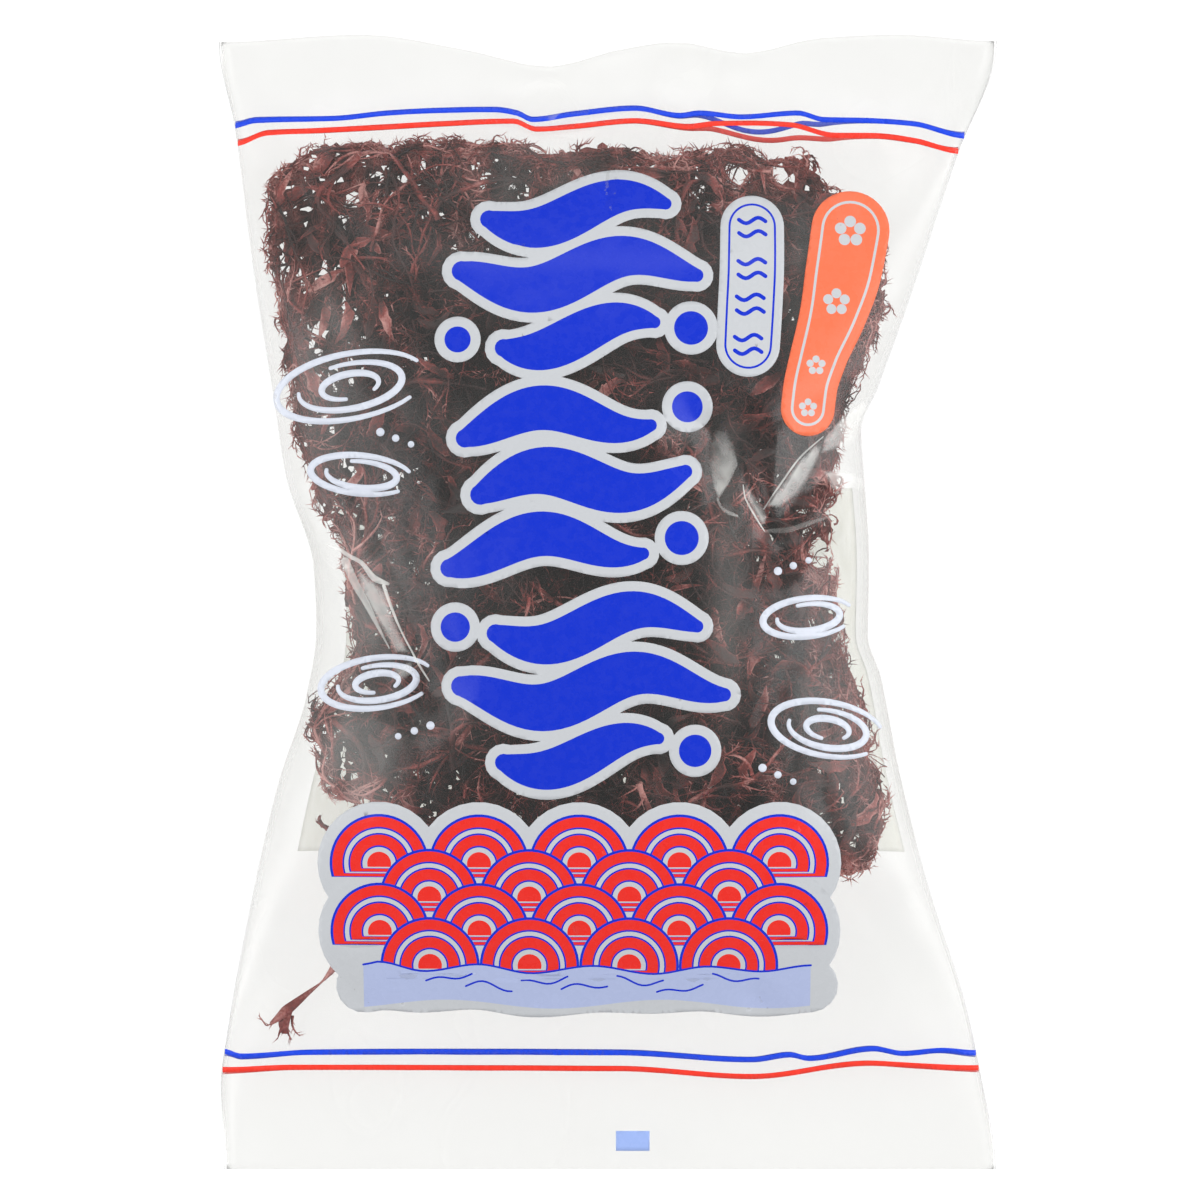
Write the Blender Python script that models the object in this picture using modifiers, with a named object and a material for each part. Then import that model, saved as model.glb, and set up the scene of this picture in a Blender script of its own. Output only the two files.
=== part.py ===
"""Dried red seaweed in a clear film bag, lying on its back. Metres, +Z up, the bag's top towards +Y.

The bag is one tube of film, flattened at both ends and filled by six clumps of branching fronds.
Outlines and profiles below are in millimetres, as (place along Y, value) points of a smooth curve.
"""

import math
import random

import bmesh
import bpy
from mathutils import Vector, noise

MM = 0.001

# Bag
BAG_LENGTH = 300.0
FILM_WALL = 0.3
SEAL_GAP = 0.3  # the two walls of a seal, so that the inside stays open to the ends
FILM_AROUND = 40
FILM_STATIONS = 25
LEFT_FOLD = [(-150, -101.5), (-128, -102.4), (-112, -100.3), (-75, -93.2), (-47, -86.6), (-24, -79.2),
             (-7, -76.7), (9, -77.4), (33, -84.7), (53, -87.9), (95, -94.7), (126, -98.7), (150, -103)]
RIGHT_FOLD = [(-150, 102.6), (-124, 98.4), (-106, 94.5), (-72, 83.7), (-44, 76.6), (-19, 71.6),
              (-9, 68.4), (11, 68.7), (33, 67.4), (45, 66.6), (56, 71), (83, 80.8), (118, 92.4), (150, 103)]
FRONT_CREST = [(-150, 9.45), (-141, 9.9), (-125, 15), (-105, 27), (-85, 39), (-55, 50), (0, 56),
               (50, 53), (85, 44), (105, 33), (122, 20), (138, 12), (150, 9.45)]
BACK_CREST = [(-150, 8.55), (-141, 7.6), (-125, 4.2), (-105, 1.4), (-88, 0.6), (88, 0.6), (105, 1.3),
              (122, 3.4), (138, 6.6), (150, 8.55)]
FOLD_HEIGHT = [(-150, 9), (-125, 10.5), (-100, 15), (-60, 24), (0, 27), (60, 24), (100, 16), (125, 11),
               (150, 9)]
# How far the wavy top edge dips below the bag's full length, by place along X.
TOP_DIP = [(-103, 1.9), (-65, 0), (-37, 4), (-16, 8), (3, 3.8), (18, 1.9), (36, 4.7), (56, 0.9), (77, 0),
           (103, 1.6)]
DIP_START = 112.0
DIP_DROP = 0.7  # the edge sinks by this share of its dip
FRONT_ROUND = 2.4
BACK_FLAT = 0.6  # share of the half width that lies flat
# Valleys of the front: start, end, depth and half width.
CREASES = [
    ((-38, 148), (-17, 128), 2.0, 7.0),
    ((12, 148), (-15, 128), 2.0, 7.0),
    ((-72, 16), (-47, -21), 5.0, 7.0),
    ((27, 40), (41, 20), 7.0, 7.0),
    ((41, 20), (66, 44), 6.0, 8.0),
]

# Label on the back
LABEL_WALL = 0.3
LABEL_GAP = 0.3
LABEL_ENDS = (-66.0, 30.0)
LABEL_SIDES = (-0.9, 0.95)  # as shares of the bag's half width, round its curved sides

# Seaweed
MASS_LEFT = [(-66, -62), (-52, -73), (-33, -79), (-20, -73), (-14, -67), (0, -70), (11, -69.5), (21, -75),
             (37, -81), (53, -84), (72, -87), (90, -90), (108, -90), (121, -80)]
MASS_RIGHT = [(-74, 62), (-70, 68), (-57, 73.5), (-41, 71.5), (-26, 67.5), (-10, 62.5), (6, 60.5),
              (21, 60), (32, 61), (47, 62), (66, 69.5), (80, 74), (93, 73.5), (105, 67), (119, 54)]
MASS_ENDS = (-70.0, 121.0)
# Each clump: its middle, and how far its top fronds reach past its own share, over a neighbour's core.
CLUMPS = {
    "seaweed_top_left": ((-48, 84), 7.0),
    "seaweed_top_right": ((26, 92), -5.0),
    "seaweed_middle_left": ((-38, 22), -7.0),
    "seaweed_middle_right": ((32, 34), 7.0),
    "seaweed_bottom_left": ((-42, -36), 5.0),
    "seaweed_bottom_right": ((24, -30), -5.0),
}
CLUMP_GAP = 0.5
FROND_WALL = 0.7
FROND_LENGTHS = (9.0, 9.0, 8.5, 8.0)
FROND_SPREADS = (31.0, 17.0, 9.0)
FROND_ROOT_WIDTH = 5.0
FROND_FLARE = 1.5
FROND_TIP = 0.45
FROND_DEPTHS = (11.0, 5.0, 3.6, 2.8, 2.2)  # below the film, from the root to the tips
OVER_FRONDS, OUTWARD_FRONDS, MARGIN_FRONDS, UNDER_FRONDS = 3, 8, 6, 2
GOLDEN_TURN = 137.5
MARGIN_TILT, MARGIN_WAVE = 0.17, 0.1  # as shares of the bag's thickness there
LAYERS = 4
LAYER_STEP = 0.6
WAVE = 0.5
CORE_COVER = 7.5
CORE_MARGIN = 4.0
CORE_UNEVENNESS = 0.12
CORE_SQUARENESS = 0.75
CORE_SIDES, CORE_RINGS = 10, 6
CRUMPLE = 3.0
CRUMPLE_SCALE = 0.12  # waves a millimetre
RUFFLE_SCALE = 0.07
LENGTH_RANGE = (0.75, 1.2)
SHORTER = (1.0, 0.7, 0.45)  # shares of its length that a branch tries in turn
TURNS_ASIDE = (0, 18, -18)
NOTCH = 0.2  # depth of the notch between two forks, as a share of the branch's width

# Loose pieces on the back film: root, heading in degrees, size and forks
LOOSE_PIECES = {
    "loose_sprig": ((-72.5, -97.0), 228.0, 0.42, 3),
    "loose_bit_upper": ((-71.0, -61.5), 150.0, 0.22, 2),
    "loose_bit_lower": ((-70.0, -78.0), 120.0, 0.2, 2),
}

FILM_COLOUR = (0.86, 0.88, 0.87)
LABEL_COLOUR = (0.78, 0.77, 0.72)
SEAWEED_COLOUR = (0.09, 0.022, 0.02)


def smooth(points, at):
    """Value at `at` of the smooth curve through the points, which never passes their values."""
    if at <= points[0][0]:
        return points[0][1]
    if at >= points[-1][0]:
        return points[-1][1]
    rises = [(b[1] - a[1]) / (b[0] - a[0]) for a, b in zip(points, points[1:])]

    def slope(i):
        if i in (0, len(rises)) or rises[i - 1] * rises[i] <= 0:
            return 0.0
        return 2 * rises[i - 1] * rises[i] / (rises[i - 1] + rises[i])

    i = next(i for i, point in enumerate(points) if point[0] > at) - 1
    span = points[i + 1][0] - points[i][0]
    t = (at - points[i][0]) / span
    start, end = points[i][1], points[i + 1][1]
    bend_in = slope(i) * span * t * (1 - t) ** 2
    bend_out = slope(i + 1) * span * t * t * (1 - t)
    return start + (end - start) * t * t * (3 - 2 * t) + bend_in - bend_out


def dip(x, y):
    """How far a point near the top edge is pulled down by the wave of that edge."""
    t = min(max((y - DIP_START) / (BAG_LENGTH / 2 - DIP_START), 0.0), 1.0)
    return smooth(TOP_DIP, x) * t * t * (3 - 2 * t)


def crease(x, y):
    """Depth of the valleys of the front film at a point."""
    deepest = 0.0
    for start, end, depth, half_width in CREASES:
        a, b, p = Vector(start), Vector(end), Vector((x, y))
        along = min(max((p - a).dot(b - a) / (b - a).length_squared, 0.0), 1.0)
        away = (p - a - (b - a) * along).length / half_width
        deepest = max(deepest, depth * math.exp(-away * away))
    return deepest


def across(x, y):
    """Place across the bag as a share of its half width, -1 at the left fold and 1 at the right."""
    left, right = smooth(LEFT_FOLD, y), smooth(RIGHT_FOLD, y)
    return min(max((2 * x - left - right) / (right - left), -1.0), 1.0)


def place(share, y):
    """X of a place across the bag."""
    left, right = smooth(LEFT_FOLD, y), smooth(RIGHT_FOLD, y)
    return (left + right + share * (right - left)) / 2


def arch(share):
    return math.sqrt(max(1 - abs(share) ** FRONT_ROUND, 0.0))


def front_height(x, y):
    """Outer surface of the front film over a point of the unwaved bag."""
    share = across(x, y)
    rim = smooth(FOLD_HEIGHT, y) + SEAL_GAP / 2 + FILM_WALL
    bulge = smooth(FRONT_CREST, y) - rim
    return rim + bulge * arch(share) - crease(x, y) * arch(share) * min(bulge / 8, 1.0)


def back_height(x, y):
    """Outer surface of the back film: flat in the middle and rounded up to the folds."""
    share = max(abs(across(x, y)) - BACK_FLAT, 0.0) / (1 - BACK_FLAT)
    rim = smooth(FOLD_HEIGHT, y) - SEAL_GAP / 2 - FILM_WALL
    return rim + (smooth(BACK_CREST, y) - rim) * arch(share)


def film_point(share, y, side):
    """A point of the bag's outer surface: side is 1 on the front, -1 on the back and 0 on a fold."""
    x = place(share, y)
    if side > 0:
        z = front_height(x, y)
    elif side < 0:
        z = back_height(x, y)
    else:
        z = smooth(FOLD_HEIGHT, y)
    sag = dip(x, y)
    return Vector((x, y - sag, z - DIP_DROP * sag)) * MM


def gap_at(x, y):
    """Heights of the back and the front film over a point inside the bag."""
    flat_y = y + dip(x, y)
    sink = DIP_DROP * dip(x, y)
    return back_height(x, flat_y) - sink, front_height(x, flat_y) - sink


def steepness(side, x, y):
    """How much longer a vertical line is than the clearance that it gives from a film at its slope."""
    step = 1.0
    here, east, north = gap_at(x, y)[side], gap_at(x + step, y)[side], gap_at(x, y + step)[side]
    return min(math.sqrt(1 + ((east - here) / step) ** 2 + ((north - here) / step) ** 2), 2.5)


def material(name, colour, roughness, alpha=1.0):
    made = bpy.data.materials.new(name)
    made.use_nodes = True
    shader = made.node_tree.nodes["Principled BSDF"]
    shader.inputs["Base Color"].default_value = (*colour, 1)
    shader.inputs["Roughness"].default_value = roughness
    shader.inputs["Alpha"].default_value = alpha
    return made


def new_object(name, bm, finish, collection):
    mesh = bpy.data.meshes.new(name)
    bm.to_mesh(mesh)
    bm.free()
    mesh.materials.append(finish)
    made = bpy.data.objects.new(name, mesh)
    collection.objects.link(made)
    return made


def thicken(target, wall, offset):
    solidify = target.modifiers.new("Wall", "SOLIDIFY")
    solidify.thickness = wall * MM
    solidify.offset = offset
    solidify.use_even_offset = True


def tube():
    """The bag's outer surface: a unit tube whose rings are set to the bag's sections."""
    bm = bmesh.new()
    bmesh.ops.create_cone(bm, segments=FILM_AROUND, radius1=1, radius2=1, depth=2)
    along = [edge for edge in bm.edges if abs(edge.verts[0].co.z - edge.verts[1].co.z) > 1]
    bmesh.ops.subdivide_edges(bm, edges=along, cuts=FILM_STATIONS - 1)
    for vertex in bm.verts:
        share, side, y = vertex.co.x, vertex.co.y, vertex.co.z * BAG_LENGTH / 2
        on_fold = abs(side) < 1e-4
        vertex.co = film_point(share, y, 0 if on_fold else math.copysign(1, side))
    bm.normal_update()
    middle = Vector((0, 0, smooth(FOLD_HEIGHT, 0) * MM))
    if sum(face.normal.dot(face.calc_center_median() - middle) for face in bm.faces) < 0:
        bmesh.ops.reverse_faces(bm, faces=bm.faces)
    return bm


def bag_film(finish, collection):
    """The tube with its wall grown inwards."""
    bm = tube()
    bmesh.ops.triangulate(bm, faces=bm.faces)
    made = new_object("bag_film", bm, finish, collection)
    thicken(made, FILM_WALL, -1)
    made.data.shade_smooth()
    return made


def under_label(face):
    """Whether a face of the tube lies on the back, over the label."""
    x, y, z = face.calc_center_median() / MM
    in_length = LABEL_ENDS[0] < y < LABEL_ENDS[1]
    in_width = LABEL_SIDES[0] < across(x, y) < LABEL_SIDES[1]
    return in_length and in_width and z < smooth(FOLD_HEIGHT, y)


def back_label(finish, collection):
    """A sheet that follows the outside of the back film, clear of it by a small gap."""
    bm = tube()
    others = [face for face in bm.faces if not under_label(face)]
    bmesh.ops.delete(bm, geom=others, context="FACES")
    bmesh.ops.triangulate(bm, faces=bm.faces)
    bm.normal_update()
    outward = [vertex.normal.copy() for vertex in bm.verts]
    for vertex, normal in zip(bm.verts, outward):
        vertex.co += normal * LABEL_GAP * MM
    made = new_object("back_label", bm, finish, collection)
    thicken(made, LABEL_WALL, 1)
    return made


def room(x, y, name, overlapping=False):
    """How far a point lies inside a clump's share of the bag, or inside the share of its top fronds."""
    inside = min(x - smooth(MASS_LEFT, y), smooth(MASS_RIGHT, y) - x)
    inside = min(inside, y - MASS_ENDS[0], MASS_ENDS[1] - y)
    seed, reach = CLUMPS[name]
    own, point = Vector(seed), Vector((x, y))
    for other, (other_seed, other_reach) in CLUMPS.items():
        if other != name:
            apart = Vector(other_seed) - own
            halfway = (Vector(other_seed) + own) / 2
            shift = (reach - other_reach) / 2 if overlapping else 0
            inside = min(inside, (halfway - point).dot(apart.normalized()) + shift - CLUMP_GAP / 2)
    return inside


def steer(start, heading, length, width, fits):
    """End point of a branch: as long as fits, turned a little if its way is blocked, or None."""
    for share in SHORTER:
        for turn in TURNS_ASIDE:
            angle = heading + math.radians(turn)
            end = start + Vector((math.cos(angle), math.sin(angle))) * length * share
            if fits(end.x, end.y) > width / 2:
                return end, angle
    return None, heading


def grow(bm, base, heading, level, forks, size, fits, dice):
    """Extrudes one branch from its base edge, forks its end and grows both halves."""
    left, right = base.verts
    start = (left.co.xy + right.co.xy) / 2
    width = (left.co.xy - right.co.xy).length
    is_tip = level == forks
    length = FROND_LENGTHS[level] * size * dice.uniform(*LENGTH_RANGE)
    end_width = width * (FROND_TIP if is_tip else FROND_FLARE)
    end, heading = steer(start, heading, length, end_width, fits)
    if end is None:
        return
    side = Vector((-math.sin(heading), math.cos(heading))) * end_width / 2
    new = bmesh.ops.extrude_edge_only(bm, edges=[base])["geom"]
    tip_edge = next(item for item in new if isinstance(item, bmesh.types.BMEdge)
                    and set(item.verts).isdisjoint(base.verts))
    depth = bm.verts.layers.float["level"]
    for vertex in tip_edge.verts:
        near_left = (vertex.co - left.co).length < (vertex.co - right.co).length
        place_xy = end + side * (1 if near_left else -1)
        vertex.co = (place_xy.x, place_xy.y, 0)
        vertex[depth] = level + 1
    if is_tip:
        return
    first, second = sorted(tip_edge.verts, key=lambda vertex: (vertex.co.xy - end).dot(side))
    middle = bmesh.utils.edge_split(tip_edge, tip_edge.verts[0], 0.5)[1]
    forward = Vector((math.cos(heading), math.sin(heading))) * end_width * NOTCH
    middle.co = (end.x + forward.x, end.y + forward.y, 0)
    middle[depth] = level + 1
    spread = math.radians(FROND_SPREADS[level])
    for corner, turn in ((first, -spread), (second, spread)):
        edge = bm.edges.get((corner, middle))
        jitter = math.radians(dice.uniform(-4, 4))
        grow(bm, edge, heading + turn + jitter, level + 1, forks, size, fits, dice)


def frond_sheet(root, heading, forks, size, fits, dice):
    """Flat branching outline of a frond, split into triangles, with each vertex's level kept."""
    bm = bmesh.new()
    depth = bm.verts.layers.float.new("level")
    side = Vector((-math.sin(heading), math.cos(heading))) * FROND_ROOT_WIDTH * size / 2
    ends = [bm.verts.new((root[0] + side.x * k, root[1] + side.y * k, 0)) for k in (1, -1)]
    for vertex in ends:
        vertex[depth] = 0
    grow(bm, bm.edges.new(ends), heading, 0, forks, size, fits, dice)
    bmesh.ops.triangulate(bm, faces=bm.faces)
    return bm


def frond(name, sheet, height, finish, collection):
    """A flat sheet laid at height(x, y, level), facing up, with the frond's thickness."""
    depth = sheet.verts.layers.float["level"]
    for vertex in sheet.verts:
        x, y = vertex.co.xy
        vertex.co = Vector((x, y, height(x, y, vertex[depth]))) * MM
    sheet.normal_update()
    if sum(face.normal.z for face in sheet.faces) < 0:
        bmesh.ops.reverse_faces(sheet, faces=sheet.faces)
    made = new_object(name, sheet, finish, collection)
    thicken(made, FROND_WALL, 0)
    return made


def ruffle(x, y, phase):
    """Waves along and across a frond."""
    return noise.noise(Vector((x * RUFFLE_SCALE, y * RUFFLE_SCALE, phase)))


def sunk(layer, x, y, level):
    """Depth of a frond below the film that it lies along, at a level of its branching."""
    wave = WAVE * (1 + ruffle(x, y, layer)) if level > 0 else 0
    return FROND_DEPTHS[int(level)] + (layer % LAYERS) * LAYER_STEP + wave


def on_top(layer):
    def height(x, y, level):
        back, front = gap_at(x, y)
        return max(front - sunk(layer, x, y, level) * steepness(1, x, y), (back + front) / 2)
    return height


def underneath(layer):
    def height(x, y, level):
        back, front = gap_at(x, y)
        return min(back + sunk(layer, x, y, level) * steepness(0, x, y), (back + front) / 2)
    return height


def half_way(layer):
    def height(x, y, level):
        back, front = gap_at(x, y)
        tilt = MARGIN_TILT * ((layer % 3) - 1) + MARGIN_WAVE * ruffle(x, y, layer)
        return (back + front) / 2 + (front - back) * tilt * min(level / 3, 1.0)
    return height


def core_reach(name, heading):
    """How far the core runs from the clump's middle in a direction."""
    seed, reach = Vector(CLUMPS[name][0]), 0.0
    toward = Vector((math.cos(heading), math.sin(heading)))
    while room(*(seed + toward * reach), name) > CORE_MARGIN:
        reach += 1.0
    return reach


def core(name, finish, collection):
    """Crumpled body inside a clump, which its fronds stand out of."""
    seed = Vector(CLUMPS[name][0])
    bm = bmesh.new()
    bmesh.ops.create_uvsphere(bm, u_segments=CORE_SIDES, v_segments=CORE_RINGS, radius=1)
    for vertex in bm.verts:
        x, y, z = vertex.co
        heading = math.atan2(y, x)
        uneven = 1 - CORE_UNEVENNESS * (1 + noise.noise(Vector((x, y, z)) * 2.5 + seed.to_3d()))
        run = core_reach(name, heading) * math.hypot(x, y) ** CORE_SQUARENESS * uneven
        px, py = seed + Vector((math.cos(heading), math.sin(heading))) * run
        back, front = gap_at(px, py)
        half = max((front - back) / 2 - CORE_COVER, 1.0)
        lump = CRUMPLE * noise.noise(Vector((px, py, z * half)) * CRUMPLE_SCALE)
        pz = (back + front) / 2 + math.copysign(abs(z) ** CORE_SQUARENESS, z) * half + lump
        vertex.co = Vector((px, py, pz)) * MM
    bmesh.ops.recalc_face_normals(bm, faces=bm.faces)
    return new_object("core", bm, finish, collection)


def keep_largest(mesh):
    """Drops all but the largest closed surface: scraps left outside, and hollows sealed inside."""
    bm = bmesh.new()
    bm.from_mesh(mesh)
    bmesh.ops.triangulate(bm, faces=bm.faces)
    islands, seen = [], set()
    for start in bm.faces:
        if start in seen:
            continue
        seen.add(start)
        island, newest = [start], [start]
        while newest:
            crossed = [edge for face in newest for edge in face.edges if len(edge.link_faces) == 2]
            newest = list({face for edge in crossed for face in edge.link_faces} - seen)
            seen.update(newest)
            island.extend(newest)
        islands.append(island)
    islands.sort(key=len)
    bmesh.ops.delete(bm, geom=[face for island in islands[:-1] for face in island], context="FACES")
    bm.to_mesh(mesh)
    bm.free()


def joined(name, pieces, collection):
    """One object from overlapping pieces."""
    first, *others = pieces
    group = bpy.data.collections.new(name + "_pieces")
    for other in others:
        collection.objects.unlink(other)
        group.objects.link(other)
    union = first.modifiers.new("Union", "BOOLEAN")
    union.operation = "UNION"
    union.operand_type = "COLLECTION"
    union.collection = group
    union.solver = "MANIFOLD"
    graph = bpy.context.evaluated_depsgraph_get()
    mesh = bpy.data.meshes.new_from_object(first.evaluated_get(graph))
    keep_largest(mesh)
    first.modifiers.clear()
    first.data = mesh
    first.name = mesh.name = name
    for other in others:
        bpy.data.objects.remove(other)
    bpy.data.collections.remove(group)
    return first


def clump(name, number, finish, collection):
    """A core with fronds lying over its top, standing out round its margin and lying under it."""
    dice = random.Random(40 + number)
    pieces = [core(name, finish, collection)]
    # Each row: where its fronds lie, how many, how far out their roots are, and how far they turn inwards.
    rows = [
        (on_top, OVER_FRONDS, (0.55, 0.8), 150.0, lambda x, y: room(x, y, name, True)),
        (on_top, OUTWARD_FRONDS, (0.45, 0.75), 0.0, lambda x, y: room(x, y, name, True)),
        (half_way, MARGIN_FRONDS, (0.6, 0.8), 0.0, lambda x, y: room(x, y, name)),
        (underneath, UNDER_FRONDS, (0.2, 0.6), 0.0, lambda x, y: room(x, y, name)),
    ]
    for height_of, count, ring, turn, fits in rows:
        for layer in range(count):
            around = math.radians(GOLDEN_TURN * layer + dice.uniform(-15, 15))
            run = core_reach(name, around) * dice.uniform(*ring)
            root = Vector(CLUMPS[name][0]) + Vector((math.cos(around), math.sin(around))) * run
            heading = around + math.radians(turn + dice.uniform(-35, 35))
            sheet = frond_sheet(root, heading, len(FROND_SPREADS), 1.0, fits, dice)
            if sheet.faces:
                pieces.append(frond("frond", sheet, height_of(layer), finish, collection))
    return joined(name, pieces, collection)


def loose_piece(name, root, degrees, size, forks, number, finish, collection):
    """A scrap of frond lying on the back film."""
    dice = random.Random(70 + number)

    def on_back(x, y, level):
        lift = 1.4 + 0.4 * ruffle(x * 3, y * 3, number)
        return gap_at(x, y)[0] + lift * steepness(0, x, y)

    sheet = frond_sheet(root, math.radians(degrees), forks, size, lambda x, y: BAG_LENGTH, dice)
    return frond(name, sheet, on_back, finish, collection)


def main():
    for old in list(bpy.data.objects):
        bpy.data.objects.remove(old)
    parts = bpy.data.collections.new("bagged_seaweed")
    bpy.context.scene.collection.children.link(parts)
    seaweed = material("seaweed", SEAWEED_COLOUR, 0.6)
    bag_film(material("film", FILM_COLOUR, 0.15, 0.3), parts)
    back_label(material("label_paper", LABEL_COLOUR, 0.6), parts)
    for number, name in enumerate(CLUMPS):
        clump(name, number, seaweed, parts)
    for number, (name, shape) in enumerate(LOOSE_PIECES.items()):
        loose_piece(name, *shape, number, seaweed, parts)


main()
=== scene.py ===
"""Dried red seaweed in a printed clear film bag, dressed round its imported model.

The shape functions work in millimetres in the bag's own frame, with the bag's top towards +Y and its
front up. Finished meshes are in metres. Every operator makes one piece, or one group of like pieces.
"""

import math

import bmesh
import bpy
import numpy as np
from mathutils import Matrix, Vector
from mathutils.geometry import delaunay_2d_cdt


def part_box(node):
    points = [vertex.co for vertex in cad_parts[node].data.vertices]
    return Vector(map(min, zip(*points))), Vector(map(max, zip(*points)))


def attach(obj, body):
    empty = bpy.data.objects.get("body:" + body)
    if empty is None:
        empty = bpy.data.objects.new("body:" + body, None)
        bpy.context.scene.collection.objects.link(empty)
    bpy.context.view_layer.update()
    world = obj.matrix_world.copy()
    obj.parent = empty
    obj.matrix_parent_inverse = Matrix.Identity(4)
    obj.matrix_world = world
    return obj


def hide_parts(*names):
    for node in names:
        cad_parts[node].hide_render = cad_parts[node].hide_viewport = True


bl_info = {
    "name": "Seaweed Bag",
    "version": (1, 0, 0),
    "blender": (4, 5, 0),
    "location": "View3D > Sidebar > Seaweed Bag",
    "description": "Dresses a packed bag of dried seaweed: film, print, label, fronds and studio",
    "category": "Object",
}

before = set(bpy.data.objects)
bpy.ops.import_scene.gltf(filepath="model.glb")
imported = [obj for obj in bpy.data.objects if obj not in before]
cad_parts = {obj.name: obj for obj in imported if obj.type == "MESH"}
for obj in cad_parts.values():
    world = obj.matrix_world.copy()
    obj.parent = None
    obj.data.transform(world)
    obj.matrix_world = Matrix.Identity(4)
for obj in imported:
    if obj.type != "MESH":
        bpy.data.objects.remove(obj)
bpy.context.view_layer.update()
FILM_LOW, FILM_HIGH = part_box("bag_film")
LABEL_LOW, LABEL_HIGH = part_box("back_label")

MM = 0.001

# Bag: curves as (place along Y, value) points
HALF_LENGTH = round((FILM_HIGH.y - FILM_LOW.y) / 2 / MM)
LEFT_FOLD = [(-150, -101.5), (-128, -102.4), (-112, -100.3), (-75, -93.2), (-47, -86.6), (-24, -79.2),
             (-7, -76.7), (9, -77.4), (33, -84.7), (53, -87.9), (95, -94.7), (126, -98.7), (150, -103)]
RIGHT_FOLD = [(-150, 102.6), (-124, 98.4), (-106, 94.5), (-72, 83.7), (-44, 76.6), (-19, 71.6),
              (-9, 68.4), (11, 68.7), (33, 67.4), (45, 66.6), (56, 71), (83, 80.8), (118, 92.4),
              (150, 103)]
FRONT_CREST = [(-150, 9.45), (-141, 9.9), (-125, 15), (-105, 27), (-85, 39), (-55, 50), (0, 56),
               (50, 53), (85, 44), (105, 33), (122, 20), (138, 12), (150, 9.45)]
BACK_CREST = [(-150, 8.55), (-141, 7.6), (-125, 4.2), (-105, 1.4), (-88, 0.6), (88, 0.6), (105, 1.3),
              (122, 3.4), (138, 6.6), (150, 8.55)]
FOLD_HEIGHT = [(-150, 9), (-125, 10.5), (-100, 15), (-60, 24), (0, 27), (60, 24), (100, 16), (125, 11),
               (150, 9)]
TOP_DIP = [(-103, 1.9), (-65, 0), (-37, 4), (-16, 8), (3, 3.8), (18, 1.9), (36, 4.7), (56, 0.9), (77, 0),
           (103, 1.6)]
DIP_START = 112.0
DIP_DROP = 0.7
SEAL_HALF = 0.2  # half the distance between the films at a fold
FRONT_ROUND = 2.4  # power of the front's arch: 2 is an ellipse, and more is fuller
BACK_FLAT = 0.6  # share of the back that lies flat
SHALLOW = 8.0  # a bulge under this has its valleys fade out
SLOPE_STEP = 0.7
MOST_SLANT = 2.2

# Folds of the front film, straight-sided like pressed film: start, end, depth and half width
CREASES = [
    ((-38, 148), (-17, 128), 1.8, 9.0),
    ((12, 148), (-15, 128), 1.8, 9.0),
    ((-74, 20), (-48, -22), 5.0, 14.0),
    ((27.5, 42), (41, 18.5), 5.5, 15.0),
    ((41, 18.5), (68, 46), 5.5, 15.0),
]
FOLDS = [
    ((-16, 147), (-15, 128), 0.9, 2.6),
    ((-15, 128), (-11, 119), 0.8, 3.4),
    ((-64, 27), (-52, 0), 1.7, 4.6),
    ((-52, 0), (-45, -24), 1.5, 4.0),
    ((-76, -4), (-58, -20), 1.7, 5.0),
    ((-80, -30), (-56, -26), 1.2, 4.4),
    ((26.5, 45), (29, 26), 2.0, 4.6),
    ((34, 38), (41, 19), 1.3, 3.2),
    ((42, 17), (60, 20), 1.5, 5.0),
    ((55, 30), (67, 37), 1.4, 4.0),
    ((66, 46), (67, -6), 1.2, 2.6),
    ((68, -26), (75, -66), 1.2, 3.0),
    ((0, 113), (0, 104), 0.8, 2.0),
    ((-90, 62), (-68, 34), 1.6, 5.6),
    ((-84, 104), (-72, 70), 1.0, 4.6),
    ((60, 100), (78, 74), 1.0, 5.0),
    ((40, -104), (64, -134), 1.3, 6.0),
    ((-58, -110), (-30, -134), 0.9, 7.0),
    ((66, -78), (86, -106), 1.3, 5.0),
    ((-84, -84), (-62, -106), 1.0, 5.0),
    ((20, -112), (28, -136), 0.7, 4.0),
]

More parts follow.
